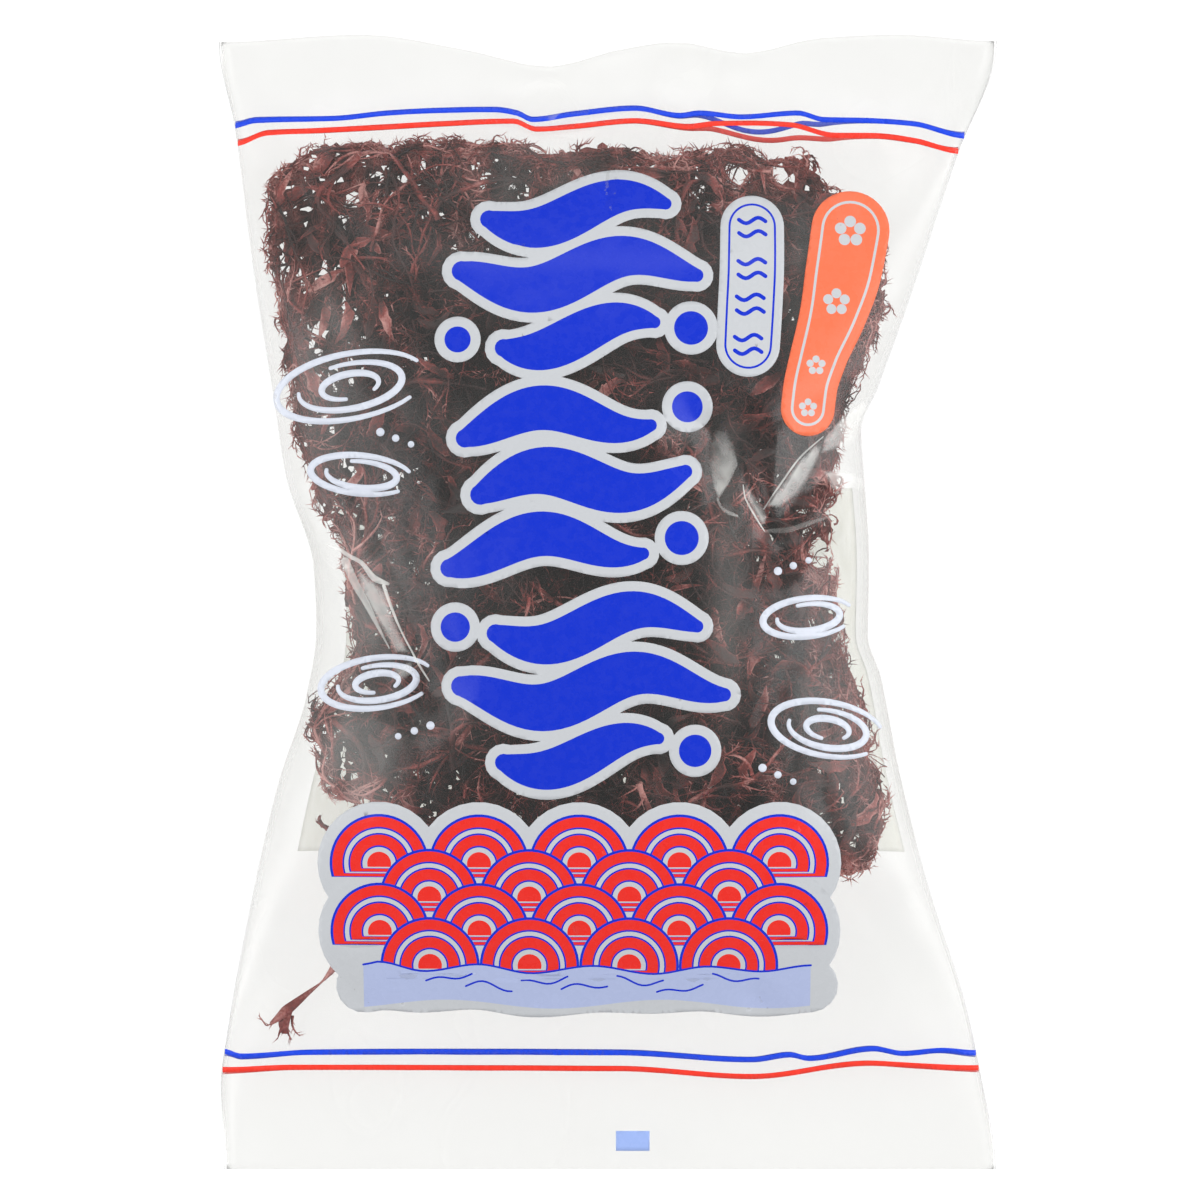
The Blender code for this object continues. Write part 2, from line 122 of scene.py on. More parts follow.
# Laps where the front film is pressed over itself: outline, brightest point, faintest point, and how
# milky the film is at the two. That haze is partly the doubled film's own and partly painted highlight.
LAPS = [
    ([(27.6, 44.9), (30.3, 44.4), (32.6, 41), (33.8, 35.7), (31.6, 31), (28.6, 26.3), (27.1, 29.7),
      (26.3, 35.7), (26.3, 41)], (32.6, 34), (27.2, 38), 0.42, 0.08),
    ([(35, 30.4), (36.5, 30.9), (38.5, 27.2), (40.7, 23.9), (41.3, 22.4), (40.7, 18.4), (38.2, 22.4),
      (35.6, 27.6)], (37.6, 23), (39.8, 26), 0.5, 0.2),
    ([(40.5, 24.3), (44.8, 30.2), (50.3, 37.6), (56.2, 42.8), (55.1, 38.4), (52.3, 31.9), (49.6, 27.9),
      (44.8, 24.4)], (45, 31), (49, 27.6), 0.5, 0.1),
    ([(56.2, 42.8), (61, 48.6), (67, 53.6), (68.8, 50), (64, 40.6), (55.1, 38.4)],
     (60, 48), (65, 42), 0.44, 0.12),
    ([(55.9, 33.9), (59.9, 34.8), (63.6, 34), (67.3, 32), (68.1, 29.1), (62.2, 28.4), (58.1, 29.2)],
     (60, 35), (63, 29.6), 0.46, 0.1),
    ([(-65.6, 9), (-60.5, 5), (-57.9, 2.8), (-55.7, -3.9), (-52, -12), (-51.1, -13.2), (-55.7, -13.2),
      (-60.5, -3.9), (-64.2, 3.1)], (-56, -3), (-61, -3), 0.24, 0.34),
    ([(-56.1, -16.8), (-50.9, -15.3), (-50.5, -18.5), (-54.6, -21.6)],
     (-52, -16), (-54.6, -20), 0.34, 0.12),
    ([(-19.6, 131.2), (-15, 125.8), (-10.4, 131), (-15, 129)], (-15, 127), (-15, 131), 0.2, 0.0),
]
# Painted highlights along the edges of those laps: line, widths and how milky the film is along them
LAP_EDGES = [
    ([(28.3, 26.8), (29.2, 24.7), (31.3, 23.1), (33.4, 22.3)], [0.5, 0.8, 1.0, 0.6], 0.2),
    ([(35, 30.4), (35.4, 27.6), (38, 22.4), (40.7, 18.2)], [0.25, 0.4, 0.5, 0.25], 0.5),
    ([(40.4, 24.1), (44.6, 30.4), (50.1, 37.8), (56, 43)], [0.3, 0.5, 0.5, 0.25], 0.42),
    ([(41, 18.4), (46, 18.6), (52, 20.4), (57, 22)], [0.8, 1.4, 1.2, 0.5], 0.1),
    ([(-72.9, 14.7), (-70.4, 13.9), (-67.4, 12), (-64.2, 10.3), (-60.5, 6), (-57.1, 4.7)],
     [0.5, 1.0, 1.1, 1.1, 1.6, 0.8], 0.46),
    ([(-58.2, 4.2), (-55.7, -2.8), (-53.1, -8.7), (-50.9, -12.8), (-49.4, -15.7), (-46.4, -20.5)],
     [0.9, 0.7, 0.45, 0.45, 0.6, 0.35], 0.55),
    ([(-68.4, 10.6), (-65.8, 4.9), (-62.7, -0.6), (-59.7, -6.5), (-56.8, -12)],
     [2.2, 2.1, 1.6, 0.9, 0.3], 0.34),
]
# Soft milky places of the front film, which paint soft highlights on its facets: middle, reach across and
# along, and how milky
HAZE_AND_SHEEN_SPOTS = [((-66, -40), (12, 18), 0.1), ((-74, 60), (9, 24), 0.07), ((-63, -2), (8, 14), 0.1),
              ((57, -36), (8, 16), 0.03), ((30, 34), (5, 14), 0.04), ((31, 0), (4.5, 32), 0.055),
              ((52, 82), (7, 20), 0.04), ((-14, 108), (20, 8), 0.04)]
LAP_LIFT = 0.14
LAP_FADE = 1.0  # width of the fade at a lap's outline

# Seaweed: its outline seen from above, as (y, x) points for the sides and (x, y) for the ends
MASS_LEFT = [(-66, -62), (-52, -73), (-33, -79), (-20, -73), (-14, -67), (0, -70), (11, -69.5), (21, -75),
             (37, -81), (53, -84), (72, -87), (90, -90), (108, -91), (116, -87)]
MASS_RIGHT = [(-74, 66), (-70, 69), (-57, 73.5), (-41, 71.5), (-26, 67.5), (-10, 62.5), (6, 60.5),
              (21, 60), (32, 61), (47, 62), (66, 69.5), (80, 74), (93, 73.5), (105, 67), (119, 56)]
MASS_TOP = [(-91, 114), (-81, 120), (-70, 122), (-39, 123), (-23, 123), (-16.6, 119), (-2, 121.5),
            (14, 119), (35, 121.5), (40, 119), (53, 119), (58, 110), (69, 106), (74, 94)]
MASS_BOTTOM = [(-80, -36), (-73, -52), (-65, -55), (-55, -60), (-34, -65), (-2, -70), (3, -73), (24, -65),
               (40, -68), (50, -66.5), (62, -73), (69, -70.5), (74, -57)]
CLUMP_MIDDLES = {
    "seaweed_top_left": (-48, 84),
    "seaweed_top_right": (26, 92),
    "seaweed_middle_left": (-38, 22),
    "seaweed_middle_right": (32, 34),
    "seaweed_bottom_left": (-42, -36),
    "seaweed_bottom_right": (24, -30),
}
# Bare patches that show the film behind: middle and radius
BARE_PATCHES = [((33.5, 112.3), 2.4), ((45, 113), 1.5), ((-66.5, 106.5), 0.8), ((-77, 71), 0.8),
                ((-70, -13), 1.4), ((-36, 96), 0.7), ((60, 24), 2.2), ((54.4, 14.2), 1.9),
                ((55.6, 10.4), 1.3), ((52.6, 18), 0.9), ((-85, 88), 0.9), ((-80, 84), 0.7)]

# Loose pieces: branches as (points, half widths)
LOOSE_PIECES = {
    "loose_sprig": [
        ([(-72.6, -97.4), (-74.0, -99.0), (-76.0, -101.0), (-78.6, -103.2), (-82.7, -106.7),
          (-84.9, -108.6), (-87.2, -110.4), (-89.2, -111.8)],
         [1.3, 0.85, 0.35, 0.75, 1.5, 1.85, 1.25, 0.6]),
        ([(-84.0, -107.6), (-85.0, -109.8), (-85.4, -112.0), (-85.5, -114.4)], [1.4, 2.1, 1.9, 0.9]),
        ([(-86.0, -112.6), (-86.9, -114.2), (-87.4, -115.6)], [0.8, 0.4, 0.12]),
        ([(-84.9, -113.0), (-84.5, -114.6), (-83.7, -116.0)], [0.7, 0.35, 0.12]),
        ([(-83.4, -109.6), (-83.6, -111.6), (-83.0, -113.4), (-81.6, -115.0)], [0.6, 0.4, 0.32, 0.14]),
        ([(-89.0, -111.7), (-90.3, -112.2), (-91.6, -110.6), (-92.4, -109.4)], [0.3, 0.2, 0.26, 0.12]),
    ],
    "loose_bit_upper": [
        ([(-70.8, -64.0), (-72.8, -61.6), (-75.2, -59.6), (-77.2, -58.2)], [1.2, 1.3, 0.8, 0.3]),
        ([(-75.6, -59.6), (-76.6, -57.6), (-76.2, -56.4)], [0.8, 0.7, 0.2]),
        ([(-73.0, -61.4), (-71.8, -60.2), (-71.4, -59.2)], [0.8, 0.5, 0.15]),
    ],
    "loose_bit_lower": [
        ([(-70.8, -74.0), (-72.2, -75.6), (-72.6, -77.6)], [0.9, 1.0, 0.2]),
        ([(-72.0, -75.4), (-73.8, -74.0), (-74.4, -73.0)], [0.9, 0.6, 0.2]),
    ],
}

# Stripes, each as (x, y) points of its middle line seen from above
TOP_BLUE = [(-99, 125.7), (-93, 127), (-73, 127.4), (-58, 128.9), (-44, 129.6), (-30, 129.9), (-24, 129),
            (-20, 127.3), (-9, 128.8), (7, 130.2), (19, 128.2), (24, 128.9), (35, 127.9), (50, 128.9),
            (57, 127.1), (70, 126.8), (81, 126), (94, 123)]
TOP_RED = [(-98, 121), (-90, 123.6), (-76, 124.2), (-58, 125.2), (-44, 126), (-25, 126.8), (-19, 124.7),
           (-9, 125.4), (7, 126.8), (21, 125.2), (28, 126), (38, 126.2), (48, 125.7), (60, 122.8),
           (70, 122.8), (81, 121.5), (92.4, 118.9)]
BOTTOM_BLUE = [(-101, -118.7), (-97, -119.8), (-79, -118.7), (-42, -118.5), (3, -118.7), (38, -120.6),
               (48, -119.3), (53, -120.3), (70, -117.7), (78, -119), (88, -118.2), (97.5, -119)]
BOTTOM_RED = [(-101.5, -123.5), (-83, -122.7), (3, -123), (38, -125.1), (69, -121.6), (82, -122.3),
              (98, -123)]
# On the back the stripes lie a little further out, and the top ones sag at one place: middle, width
# and depth
BACK_SHIFT = 1.0055
BACK_SAG = (42.0, 13.0, 4.4)
STRIPE_INSET = 0.35  # from the folds

# Print on the front, in the plane seen from above
# Brush strokes of water in three groups: the group's middle height and the phase of its waves in turns,
# then each stroke's left end, right end and thickness, from the top
WAVE_GROUPS = [
    (86.0, 0.16, [(-31, 15, 11.6), (-38, 23, 12.8), (-27, 12, 11.4)]),
    (31.5, 0.62, [(-37, 11, 11.6), (-33, 20, 12.8), (-41, 9, 11.6)]),
    (-22.5, 0.10, [(-29, 23, 11.6), (-38, 30, 12.8), (-27, 13, 11.0)]),
]
STROKE_PITCH, STROKE_SWAY, STROKE_WAVE, STROKE_RISE = 16.3, 3.6, 48.0, 0.07
# Drops beside the strokes: middle and radius
WATER_DROPS = [((21.5, 71.0), 4.4), ((-39.0, 68.0), 3.4), ((20.5, 50.5), 4.0), ((19.0, 16.5), 4.4),
               ((-39.5, -6.5), 3.8), ((22.5, -38.5), 4.2)]
OUTLINE_WIDTH = 2.6
FAN_RADIUS, FAN_STEP = 13.0, 9.0
FAN_LEFT, FAN_TOP, FANS_ACROSS, FAN_ROWS = -59.5, -68.0, 5, 4
FAN_RINGS = [(1.0, "blue"), (0.945, "red"), (0.74, "blue"), (0.705, "pale"), (0.62, "blue"),
             (0.585, "red"), (0.37, "blue"), (0.335, "pale"), (0.24, "red")]
FAN_DIP = 16.0  # degrees that a fan's ends reach below its middle
HALO = 3.2
GROUND_LINE = [(-64, -94.8), (-60, -94), (-48, -96.5), (-34, -94.6), (-20, -97), (-4, -95), (12, -97.2),
               (26, -95.2), (40, -96.6), (53, -95)]
GROUND_DEPTH = 8.2
# Capsules, as the points of their middle lines and the half widths there
WHITE_CAPSULE = ([(37.6, 97.9), (37.4, 87), (36.9, 77), (36.3, 66.6)], [8.3, 8.4, 8.4, 8.3])
ORANGE_CAPSULE = ([(63.4, 97.3), (61.4, 86), (58.6, 75), (54.8, 64), (52.6, 56), (51.9, 50.2)],
                  [10.3, 10.0, 8.8, 7.5, 7.1, 7.1])
# Rings of white ripples: middle, width, height, tilt in degrees and number of rings
RIPPLES = [((-67, 56), 40, 17, 10, 3), ((-64, 33), 27, 10, -6, 2), ((-60, -21), 30, 13, 8, 3),
           ((52, -4), 24, 10, 6, 2), ((57, -33), 30, 14, -10, 3)]
RIPPLE_LINE = 1.9
# Rows of white dots: first dot, step and number
DOT_ROWS = [((-59, 44), (4.0, -1.6), 3), ((-46, -32), (-4.2, -1.4), 3), ((44, 8), (4.0, 1.4), 3),
            ((40, -43), (4.0, -1.8), 3)]
EYE_MARK = ((2.1, -145.1), (11.0, -139.8))
INK_STEP = 1.5
INK_LIFT = 0.06

# Box round the mass seen from above, draws made over it, and step of the core's grid
MASS_ACROSS, MASS_ALONG = (-92.0, 76.0), (-76.0, 124.0)
SPOTS = 60000
CORE_STEP = 1.0
CORE_JITTER = 0.9
# Clearances from the films, deepest hollow of the top, and share of the height where the mass thins to
LOW_GAP, HIGH_GAP, HOLLOW = 2.0, 1.7, 7.0
THIN_LEVEL = 0.52
# Paths turn towards this point where the edge of the mass lies ahead, by at most so much a step
HEART = (-8, 24)
MOST_SWING = 0.7
# A path is dropped past this distance outside the mass, this share over pinholes, or this spread of
# headings in radians
LONGEST_STRAY = 4.5
MOST_OVER_HOLES = 0.12
MOST_TURNED = 1.9
STEM_STEPS = 22
# Side branches: number for each stem, steps, least and most turn from it, and width as a share of the
# stem's own
SIDE_BRANCHES = ((2.4, 9, (0.5, 0.85), 0.62), (2.6, 6, (0.3, 0.95), 0.45))
BLADE_ROWS, BLADE_COLUMNS, BLADE_WALL = 9, 5, 0.2
LOOSE_REDNESS = 0.84
LOOSE_BRANCHLETS = 0.3

LATTICE = 64  # cells of the noise before it repeats

FILM_BUMP = (0.07, 0.0006)  # strength and height of the film's crinkles
INK_BUMP = (0.07, 0.0005)
FILM_IOR = 1.42
FILM_ROUGHNESS = (0.26, 0.4)
RULE_HALF = 0.03  # half a ruled line, as a share of the distance between two
FLOOR_HEIGHT = -0.2  # a hair under the bag, so that the two don't coincide

# Camera: the width that it frames, at the height of the bag's folds, and the point below it
VIEW_WIDTH = 0.3158
VIEW_MIDDLE = (-0.0021, 0.0005, 0.018)
SENSOR = 36.0

# Softboxes: name, place, size and share of the full brightness
SOFTBOXES = [
    ("left_softbox", (-1.05, 0.1, 0.95), (0.8, 1.4), 0.6),
    ("right_softbox", (1.25, -0.1, 0.75), (0.7, 1.4), 0.9),
    ("top_softbox", (0.05, 1.15, 0.9), (1.2, 0.4), 0.6),
    ("low_left_softbox", (-1.2, -0.4, 0.3), (0.3, 0.9), 0.8),
    ("low_right_softbox", (1.2, 0.4, 0.3), (0.3, 0.9), 0.8),
]


def smooth(points, at):
    """Values at `at` of the smooth curve through the points, which never passes their values."""
    along, values = np.array(points, float).T
    at = np.clip(np.asarray(at, float), along[0], along[-1])
    rises = np.diff(values) / np.diff(along)
    before, after = rises[:-1], rises[1:]
    slopes = np.zeros(len(along))
    same_way = before * after > 0
    slopes[1:-1][same_way] = (2 * before * after)[same_way] / (before + after)[same_way]
    i = np.clip(np.searchsorted(along, at, side="right") - 1, 0, len(along) - 2)
    span = along[i + 1] - along[i]
    t = (at - along[i]) / span
    bend = slopes[i] * span * t * (1 - t) ** 2 - slopes[i + 1] * span * t * t * (1 - t)
    return values[i] + (values[i + 1] - values[i]) * t * t * (3 - 2 * t) + bend


def ease(t):
    t = np.clip(t, 0, 1)
    return t * t * (3 - 2 * t)


def noise(x, y, seed):
    """Smooth noise between about -1 and 1, with features one unit apart."""
    angles = np.random.default_rng(seed).uniform(0, 2 * math.pi, (LATTICE, LATTICE))
    column, row = np.floor(x).astype(int), np.floor(y).astype(int)
    u, v = x - column, y - row
    fade_u, fade_v = ease(u), ease(v)
    total = 0
    for i, j in ((0, 0), (1, 0), (0, 1), (1, 1)):
        angle = angles[(column + i) % LATTICE, (row + j) % LATTICE]
        share = (fade_u if i else 1 - fade_u) * (fade_v if j else 1 - fade_v)
        total = total + share * ((u - i) * np.cos(angle) + (v - j) * np.sin(angle))
    return 1.5 * total


def across(x, y):
    """Place across the bag as a share of its half width, -1 at the left fold and 1 at the right."""
    left, right = smooth(LEFT_FOLD, y), smooth(RIGHT_FOLD, y)
    return np.clip((2 * x - left - right) / (right - left), -1, 1)


def place(share, y):
    left, right = smooth(LEFT_FOLD, y), smooth(RIGHT_FOLD, y)
    return (left + right + share * (right - left)) / 2


def arch(share):
    return np.sqrt(np.clip(1 - np.abs(share) ** FRONT_ROUND, 0, 1))


def dip(x, y):
    """How far a point near the top edge is pulled down by the wave of that edge."""
    return smooth(TOP_DIP, x) * ease((y - DIP_START) / (HALF_LENGTH - DIP_START))


def valleys(x, y, folds):
    """Depth of the deepest fold at each point."""
    deepest = np.zeros(np.shape(x))
    for start, end, depth, half_width in folds:
        run = np.subtract(end, start)
        along = np.clip(((x - start[0]) * run[0] + (y - start[1]) * run[1]) / (run @ run), 0, 1)
        away = np.hypot(x - start[0] - along * run[0], y - start[1] - along * run[1]) / half_width
        deepest = np.maximum(deepest, depth * np.clip(1 - away, 0, 1))
    return deepest


def crumple(x, y):
    """Depth of the film's unplanned facets: strong at the waist, and faint on the taut middle."""
    share = np.abs(across(x, y))
    waist = ease((share - 0.4) / 0.5) * np.exp(-((y - 8) / 70) ** 2)
    ends = ease((np.abs(y) - 86) / 30) * 0.5
    strength = 0.16 + 0.84 * np.maximum(waist, ends)
    wide = 1 - np.abs(noise(x / 19 + 7, y / 27, 11)) * 2.2
    fine = 1 - np.abs(noise(x / 8 + 3, y / 13 + x / 40, 12)) * 2.2
    return strength * (1.5 * np.clip(wide, 0, 1) + 0.5 * np.clip(fine, 0, 1))


def flutter(x, y):
    """Gentle waves that both films share towards the seals."""
    loose = ease((np.abs(y) - 104) / 40)
    return loose * (1.3 * noise(x / 24, y / 55, 21) + 0.3 * noise(x / 8, y / 30, 22))


def front_height(x, y):
    """The front film over a point of the unwaved bag."""
    share = across(x, y)
    rim = smooth(FOLD_HEIGHT, y) + SEAL_HALF
    bulge = smooth(FRONT_CREST, y) - rim
    folded = valleys(x, y, CREASES) + valleys(x, y, FOLDS) + crumple(x, y)
    return rim + arch(share) * (bulge - folded * np.clip(bulge / SHALLOW, 0, 1)) + flutter(x, y)


def back_height(x, y):
    """The back film: flat in the middle and rounded up to the folds."""
    share = np.clip(np.abs(across(x, y)) - BACK_FLAT, 0, 1) / (1 - BACK_FLAT)
    rim = smooth(FOLD_HEIGHT, y) - SEAL_HALF
    return rim + (smooth(BACK_CREST, y) - rim) * arch(share) + flutter(x, y)


def film_height(side, x, y):
    """Height of the back film (side 0) or the front film (side 1) over points of the finished bag."""
    down = dip(x, y)
    height = front_height if side else back_height
    return height(x, y + down) - DIP_DROP * down


def slant(side, x, y):
    """How much longer a vertical line is than the clearance that it gives from a film at its slope."""
    here = film_height(side, x, y)
    east, north = film_height(side, x + SLOPE_STEP, y), film_height(side, x, y + SLOPE_STEP)
    return np.minimum(np.sqrt(1 + ((east - here) ** 2 + (north - here) ** 2) / SLOPE_STEP**2), MOST_SLANT)


def hexcode(text):
    """A colour from its printed value, as the linear colour that materials take."""
    parts = np.array([int(text[i:i + 2], 16) for i in (0, 2, 4)]) / 255
    return tuple(np.where(parts < 0.04045, parts / 12.92, ((parts + 0.055) / 1.055) ** 2.4))


def node(tree, kind, inputs=None, **settings):
    """Adds a node. An input is set by name or number, from a value or from another node's socket."""
    made = tree.nodes.new(kind)
    for name, value in settings.items():
        setattr(made, name, value)
    for key, value in (inputs or {}).items():
        if isinstance(value, bpy.types.NodeSocket):
            tree.links.new(value, made.inputs[key])
        else:
            made.inputs[key].default_value = value
    return made


def maths(tree, operation, first, second=0.0):
    return node(tree, "ShaderNodeMath", {0: first, 1: second}, operation=operation).outputs[0]


def apart(tree, value, middle=0.5):
    return maths(tree, "ABSOLUTE", maths(tree, "SUBTRACT", value, middle))


def scaled(tree, vector, factor):
    inputs = {0: vector, "Scale": factor}
    return node(tree, "ShaderNodeVectorMath", inputs, operation="SCALE").outputs[0]


def summed(tree, first, second):
    return node(tree, "ShaderNodeVectorMath", {0: first, 1: second}, operation="ADD").outputs[0]


def ranged(tree, value, low, high, to_low, to_high):
    inputs = {"Value": value, "From Min": low, "From Max": high, "To Min": to_low, "To Max": to_high}
    return node(tree, "ShaderNodeMapRange", inputs).outputs["Result"]


def blended(tree, share, *colours):
    """The first colour, with a share of the second."""
    first, second = (colour if isinstance(colour, bpy.types.NodeSocket) else (*colour, 1)
                     for colour in colours)
    return node(tree, "ShaderNodeMix", {0: share, 6: first, 7: second}, data_type="RGBA").outputs[2]


def mixed(tree, share, first, second):
    """One shader, with a share of a second one."""
    return node(tree, "ShaderNodeMixShader", {0: share, 1: first, 2: second}).outputs[0]


def principled(tree, colour, **inputs):
    """A Principled shader. Its inputs are named as its sockets are, with _ for a space."""
    named = {name.replace("_", " "): value for name, value in inputs.items()}
    return node(tree, "ShaderNodeBsdfPrincipled", {"Base Color": colour, **named}).outputs[0]


def bumped(tree, height, strength, distance):
    inputs = {"Strength": strength, "Distance": distance, "Height": height}
    return node(tree, "ShaderNodeBump", inputs).outputs[0]


def attribute(tree, name):
    return node(tree, "ShaderNodeAttribute", attribute_name=name).outputs["Fac"]


def speckle(tree, place_at, scale, detail=3.0, stretch=(1, 1, 1), turn=0.0):
    """Noise on the object's own coordinates, from 0 to 1. The scale is in features a metre."""
    inputs = {"Vector": place_at, "Rotation": (0.0, 0.0, turn), "Scale": stretch}
    mapped = node(tree, "ShaderNodeMapping", inputs).outputs[0]
    inputs = {"Vector": mapped, "Scale": scale, "Detail": detail}
    return node(tree, "ShaderNodeTexNoise", inputs).outputs[0]


def coordinates(tree):
    return node(tree, "ShaderNodeTexCoord").outputs["Object"]


def new_group(name, inputs, outputs):
    """A shader node group with float or colour sockets."""
    tree = bpy.data.node_groups.new(name, "ShaderNodeTree")
    for side, sockets in (("INPUT", inputs), ("OUTPUT", outputs)):
        for label, kind, *default in sockets:
            socket = tree.interface.new_socket(label, in_out=side, socket_type="NodeSocket" + kind)
            if default:
                socket.default_value = default[0]
    return tree, node(tree, "NodeGroupInput"), node(tree, "NodeGroupOutput")


def crinkle_group():
    """The film's small crinkles, shared by whatever lies on the film: a height and a patchy mask."""
    tree, given, result = new_group(
        "Film crinkle",
        [("Crinkle Size", "Float", 0.02), ("Patch Size", "Float", 0.04)],
        [("Height", "Float"), ("Patches", "Float")],
    )
    at = coordinates(tree)
    crinkles, patch = (maths(tree, "DIVIDE", 1.0, given.outputs[size])
                       for size in ("Crinkle Size", "Patch Size"))
    ridge = apart(tree, speckle(tree, at, crinkles, 2.0, (1, 0.6, 1)))
    patches = speckle(tree, at, patch, 1.0, (1, 0.7, 1))
    tree.links.new(maths(tree, "MULTIPLY", ridge, 2.0), result.inputs["Height"])
    tree.links.new(ranged(tree, patches, 0.38, 0.66, 0.0, 1.0), result.inputs["Patches"])
    return tree


def print_group():
    """Printed ink: a faint screen of dots and uneven cover."""
    tree, given, result = new_group(
        "Printed ink",
        [("Colour", "Color"), ("Worn Colour", "Color"), ("Screen", "Float", 2200.0)],
        [("Colour", "Color"), ("Roughness", "Float")],
    )
    at = coordinates(tree)
    cover = ranged(tree, speckle(tree, at, 420.0, 4.0), 0.35, 0.75, 0.0, 0.07)
    dots = node(tree, "ShaderNodeTexVoronoi", {"Vector": at, "Scale": given.outputs["Screen"]}).outputs[0]
    dotted = ranged(tree, dots, 0.2, 0.7, 0.0, 0.05)
    share = maths(tree, "ADD", cover, dotted)
    colour = blended(tree, share, given.outputs["Colour"], given.outputs["Worn Colour"])
    tree.links.new(colour, result.inputs["Colour"])
    tree.links.new(ranged(tree, cover, 0.0, 0.07, 0.22, 0.36), result.inputs["Roughness"])
    return tree


def shared_group(tree, name, make, inputs=None):
    """A node of a shader group that several materials share."""
    group = bpy.data.node_groups.get(name) or make()
    return node(tree, "ShaderNodeGroup", inputs, node_tree=group)


def new_material(name):
    """A material and its empty tree."""
    made = bpy.data.materials.new(name)
    made.use_nodes = True
    made.node_tree.nodes.clear()
    return made, made.node_tree


def finished(made, shader):
    """The material, with the shader as what it shows."""
    node(made.node_tree, "ShaderNodeOutputMaterial", {0: shader})
    return made


def crinkled_normal(tree, bump):
    crinkle = shared_group(tree, "Film crinkle", crinkle_group)
    return bumped(tree, crinkle.outputs["Height"], *bump), crinkle.outputs["Patches"]


def sheet_of_film(name, tint, milk_share, look, fading=False):
    """Film seen from outside: a see-through tint, a milky haze, and gloss that grows as it turns away.

    The haze also paints highlights where the milk attribute is raised, and the gloss of a fading sheet
    goes where that haze goes. The film casts no shadow, and light that has bounced off paper, floor or
    fronds passes it unchanged.
    """
    made, tree = new_material(name)
    normal, patches = crinkled_normal(tree, FILM_BUMP)
    clear = node(tree, "ShaderNodeBsdfTransparent", {"Color": (*tint, 1)}).outputs[0]
    # White haze, the film's own, which also paints highlights where the milk attribute is raised
    milk = principled(tree, (*look.haze_colour, 1), Roughness=0.5, Specular_IOR_Level=0.0, Normal=normal)
    gloss = principled(tree, (1, 1, 1, 1), Metallic=1.0, Normal=normal,
                       Roughness=ranged(tree, patches, 0.0, 1.0, *FILM_ROUGHNESS))
    marked = attribute(tree, "milk")
    haze_and_sheen_mix = mixed(tree, maths(tree, "ADD", marked, milk_share), clear, milk)
    mirror = node(tree, "ShaderNodeFresnel", {"IOR": FILM_IOR, "Normal": normal}).outputs[0]
    if fading:
        mirror = maths(tree, "MULTIPLY", mirror, ranged(tree, marked, 0.0, 0.2, 0.0, 1.0))
    unseen = node(tree, "ShaderNodeBsdfTransparent").outputs[0]
    ray = node(tree, "ShaderNodeLightPath")
    passed = maths(tree, "MAXIMUM", ray.outputs["Is Shadow Ray"], ray.outputs["Is Diffuse Ray"])
    seen = mixed(tree, passed, mixed(tree, mirror, haze_and_sheen_mix, gloss), unseen)
    inner_side = node(tree, "ShaderNodeNewGeometry").outputs["Backfacing"]
    return finished(made, mixed(tree, inner_side, seen, unseen))


def film_material(look):
    return sheet_of_film("clear_film", look.film_tint, look.haze, look)


# Film of the laps, whose haze partly paints highlights of the pressed film
def lap_material(look):
    return sheet_of_film("pressed_film", (1, 1, 1), 0.0, look, True)


def ink_material(name, colour, worn):
    """Ink under the film's own gloss."""
    made, tree = new_material(name)
    normal, _ = crinkled_normal(tree, INK_BUMP)
    colours = {"Colour": (*colour, 1), "Worn Colour": (*worn, 1)}
    ink = shared_group(tree, "Printed ink", print_group, colours)
    return finished(made, principled(tree, ink.outputs["Colour"], Roughness=ink.outputs["Roughness"],
                                  Normal=normal, Specular_IOR_Level=0.2))


def ink_materials(look):
    """The inks by name. The print's operators share them."""
    if "ink_blue" not in bpy.data.materials:
        for name in ("blue", "red", "bright_blue", "bright_red", "orange", "pale", "ground", "mark",
                     "white"):
            colour = getattr(look, name)
            worn = tuple(0.82 * part + 0.18 * paler for part, paler in zip(colour, look.pale))
            ink_material("ink_" + name, colour, worn)
    return {made.name[4:]: made for made in bpy.data.materials if made.name.startswith("ink_")}


def paper_material(look):
    """Pale label paper with fibres, and ruled boxes on its outer side."""
    made, tree = new_material("label_paper")
    at = coordinates(tree)
    fibre = speckle(tree, at, 900.0, 5.0, (1, 0.25, 1))
    cloudy = speckle(tree, at, 60.0, 3.0)
    paper = blended(tree, ranged(tree, fibre, 0.3, 0.7, 0.0, 1.0), look.paper, look.paper_fibre)
    paper = blended(tree, ranged(tree, cloudy, 0.4, 0.6, 0.0, 0.35), paper, look.paper_fibre)
    split = node(tree, "ShaderNodeSeparateXYZ", {0: at})
    rows = maths(tree, "FRACT", maths(tree, "MULTIPLY", split.outputs["Y"], 1 / look.ruling))
    ruled = maths(tree, "LESS_THAN", apart(tree, rows), RULE_HALF)
    for axis, middle, reach in zip("XY", look.frame_middle, look.frame_reach):
        offset = apart(tree, split.outputs[axis], middle)
        ruled = maths(tree, "MULTIPLY", ruled, maths(tree, "LESS_THAN", offset, reach))
    facing = node(tree, "ShaderNodeNewGeometry").outputs["Normal"]
    down = node(tree, "ShaderNodeSeparateXYZ", {0: facing}).outputs["Z"]
    ruled = maths(tree, "MULTIPLY", ruled, maths(tree, "LESS_THAN", down, -0.5))
    colour = blended(tree, maths(tree, "MULTIPLY", ruled, 0.8), paper, look.rule)
    sheet = principled(tree, colour, Roughness=ranged(tree, fibre, 0.3, 0.7, 0.55, 0.8),
                       Normal=bumped(tree, fibre, 0.25, 0.0001))
    lit_through = node(tree, "ShaderNodeBsdfTranslucent", {"Color": colour}).outputs[0]
    return finished(made, mixed(tree, look.see_through, sheet, lit_through))


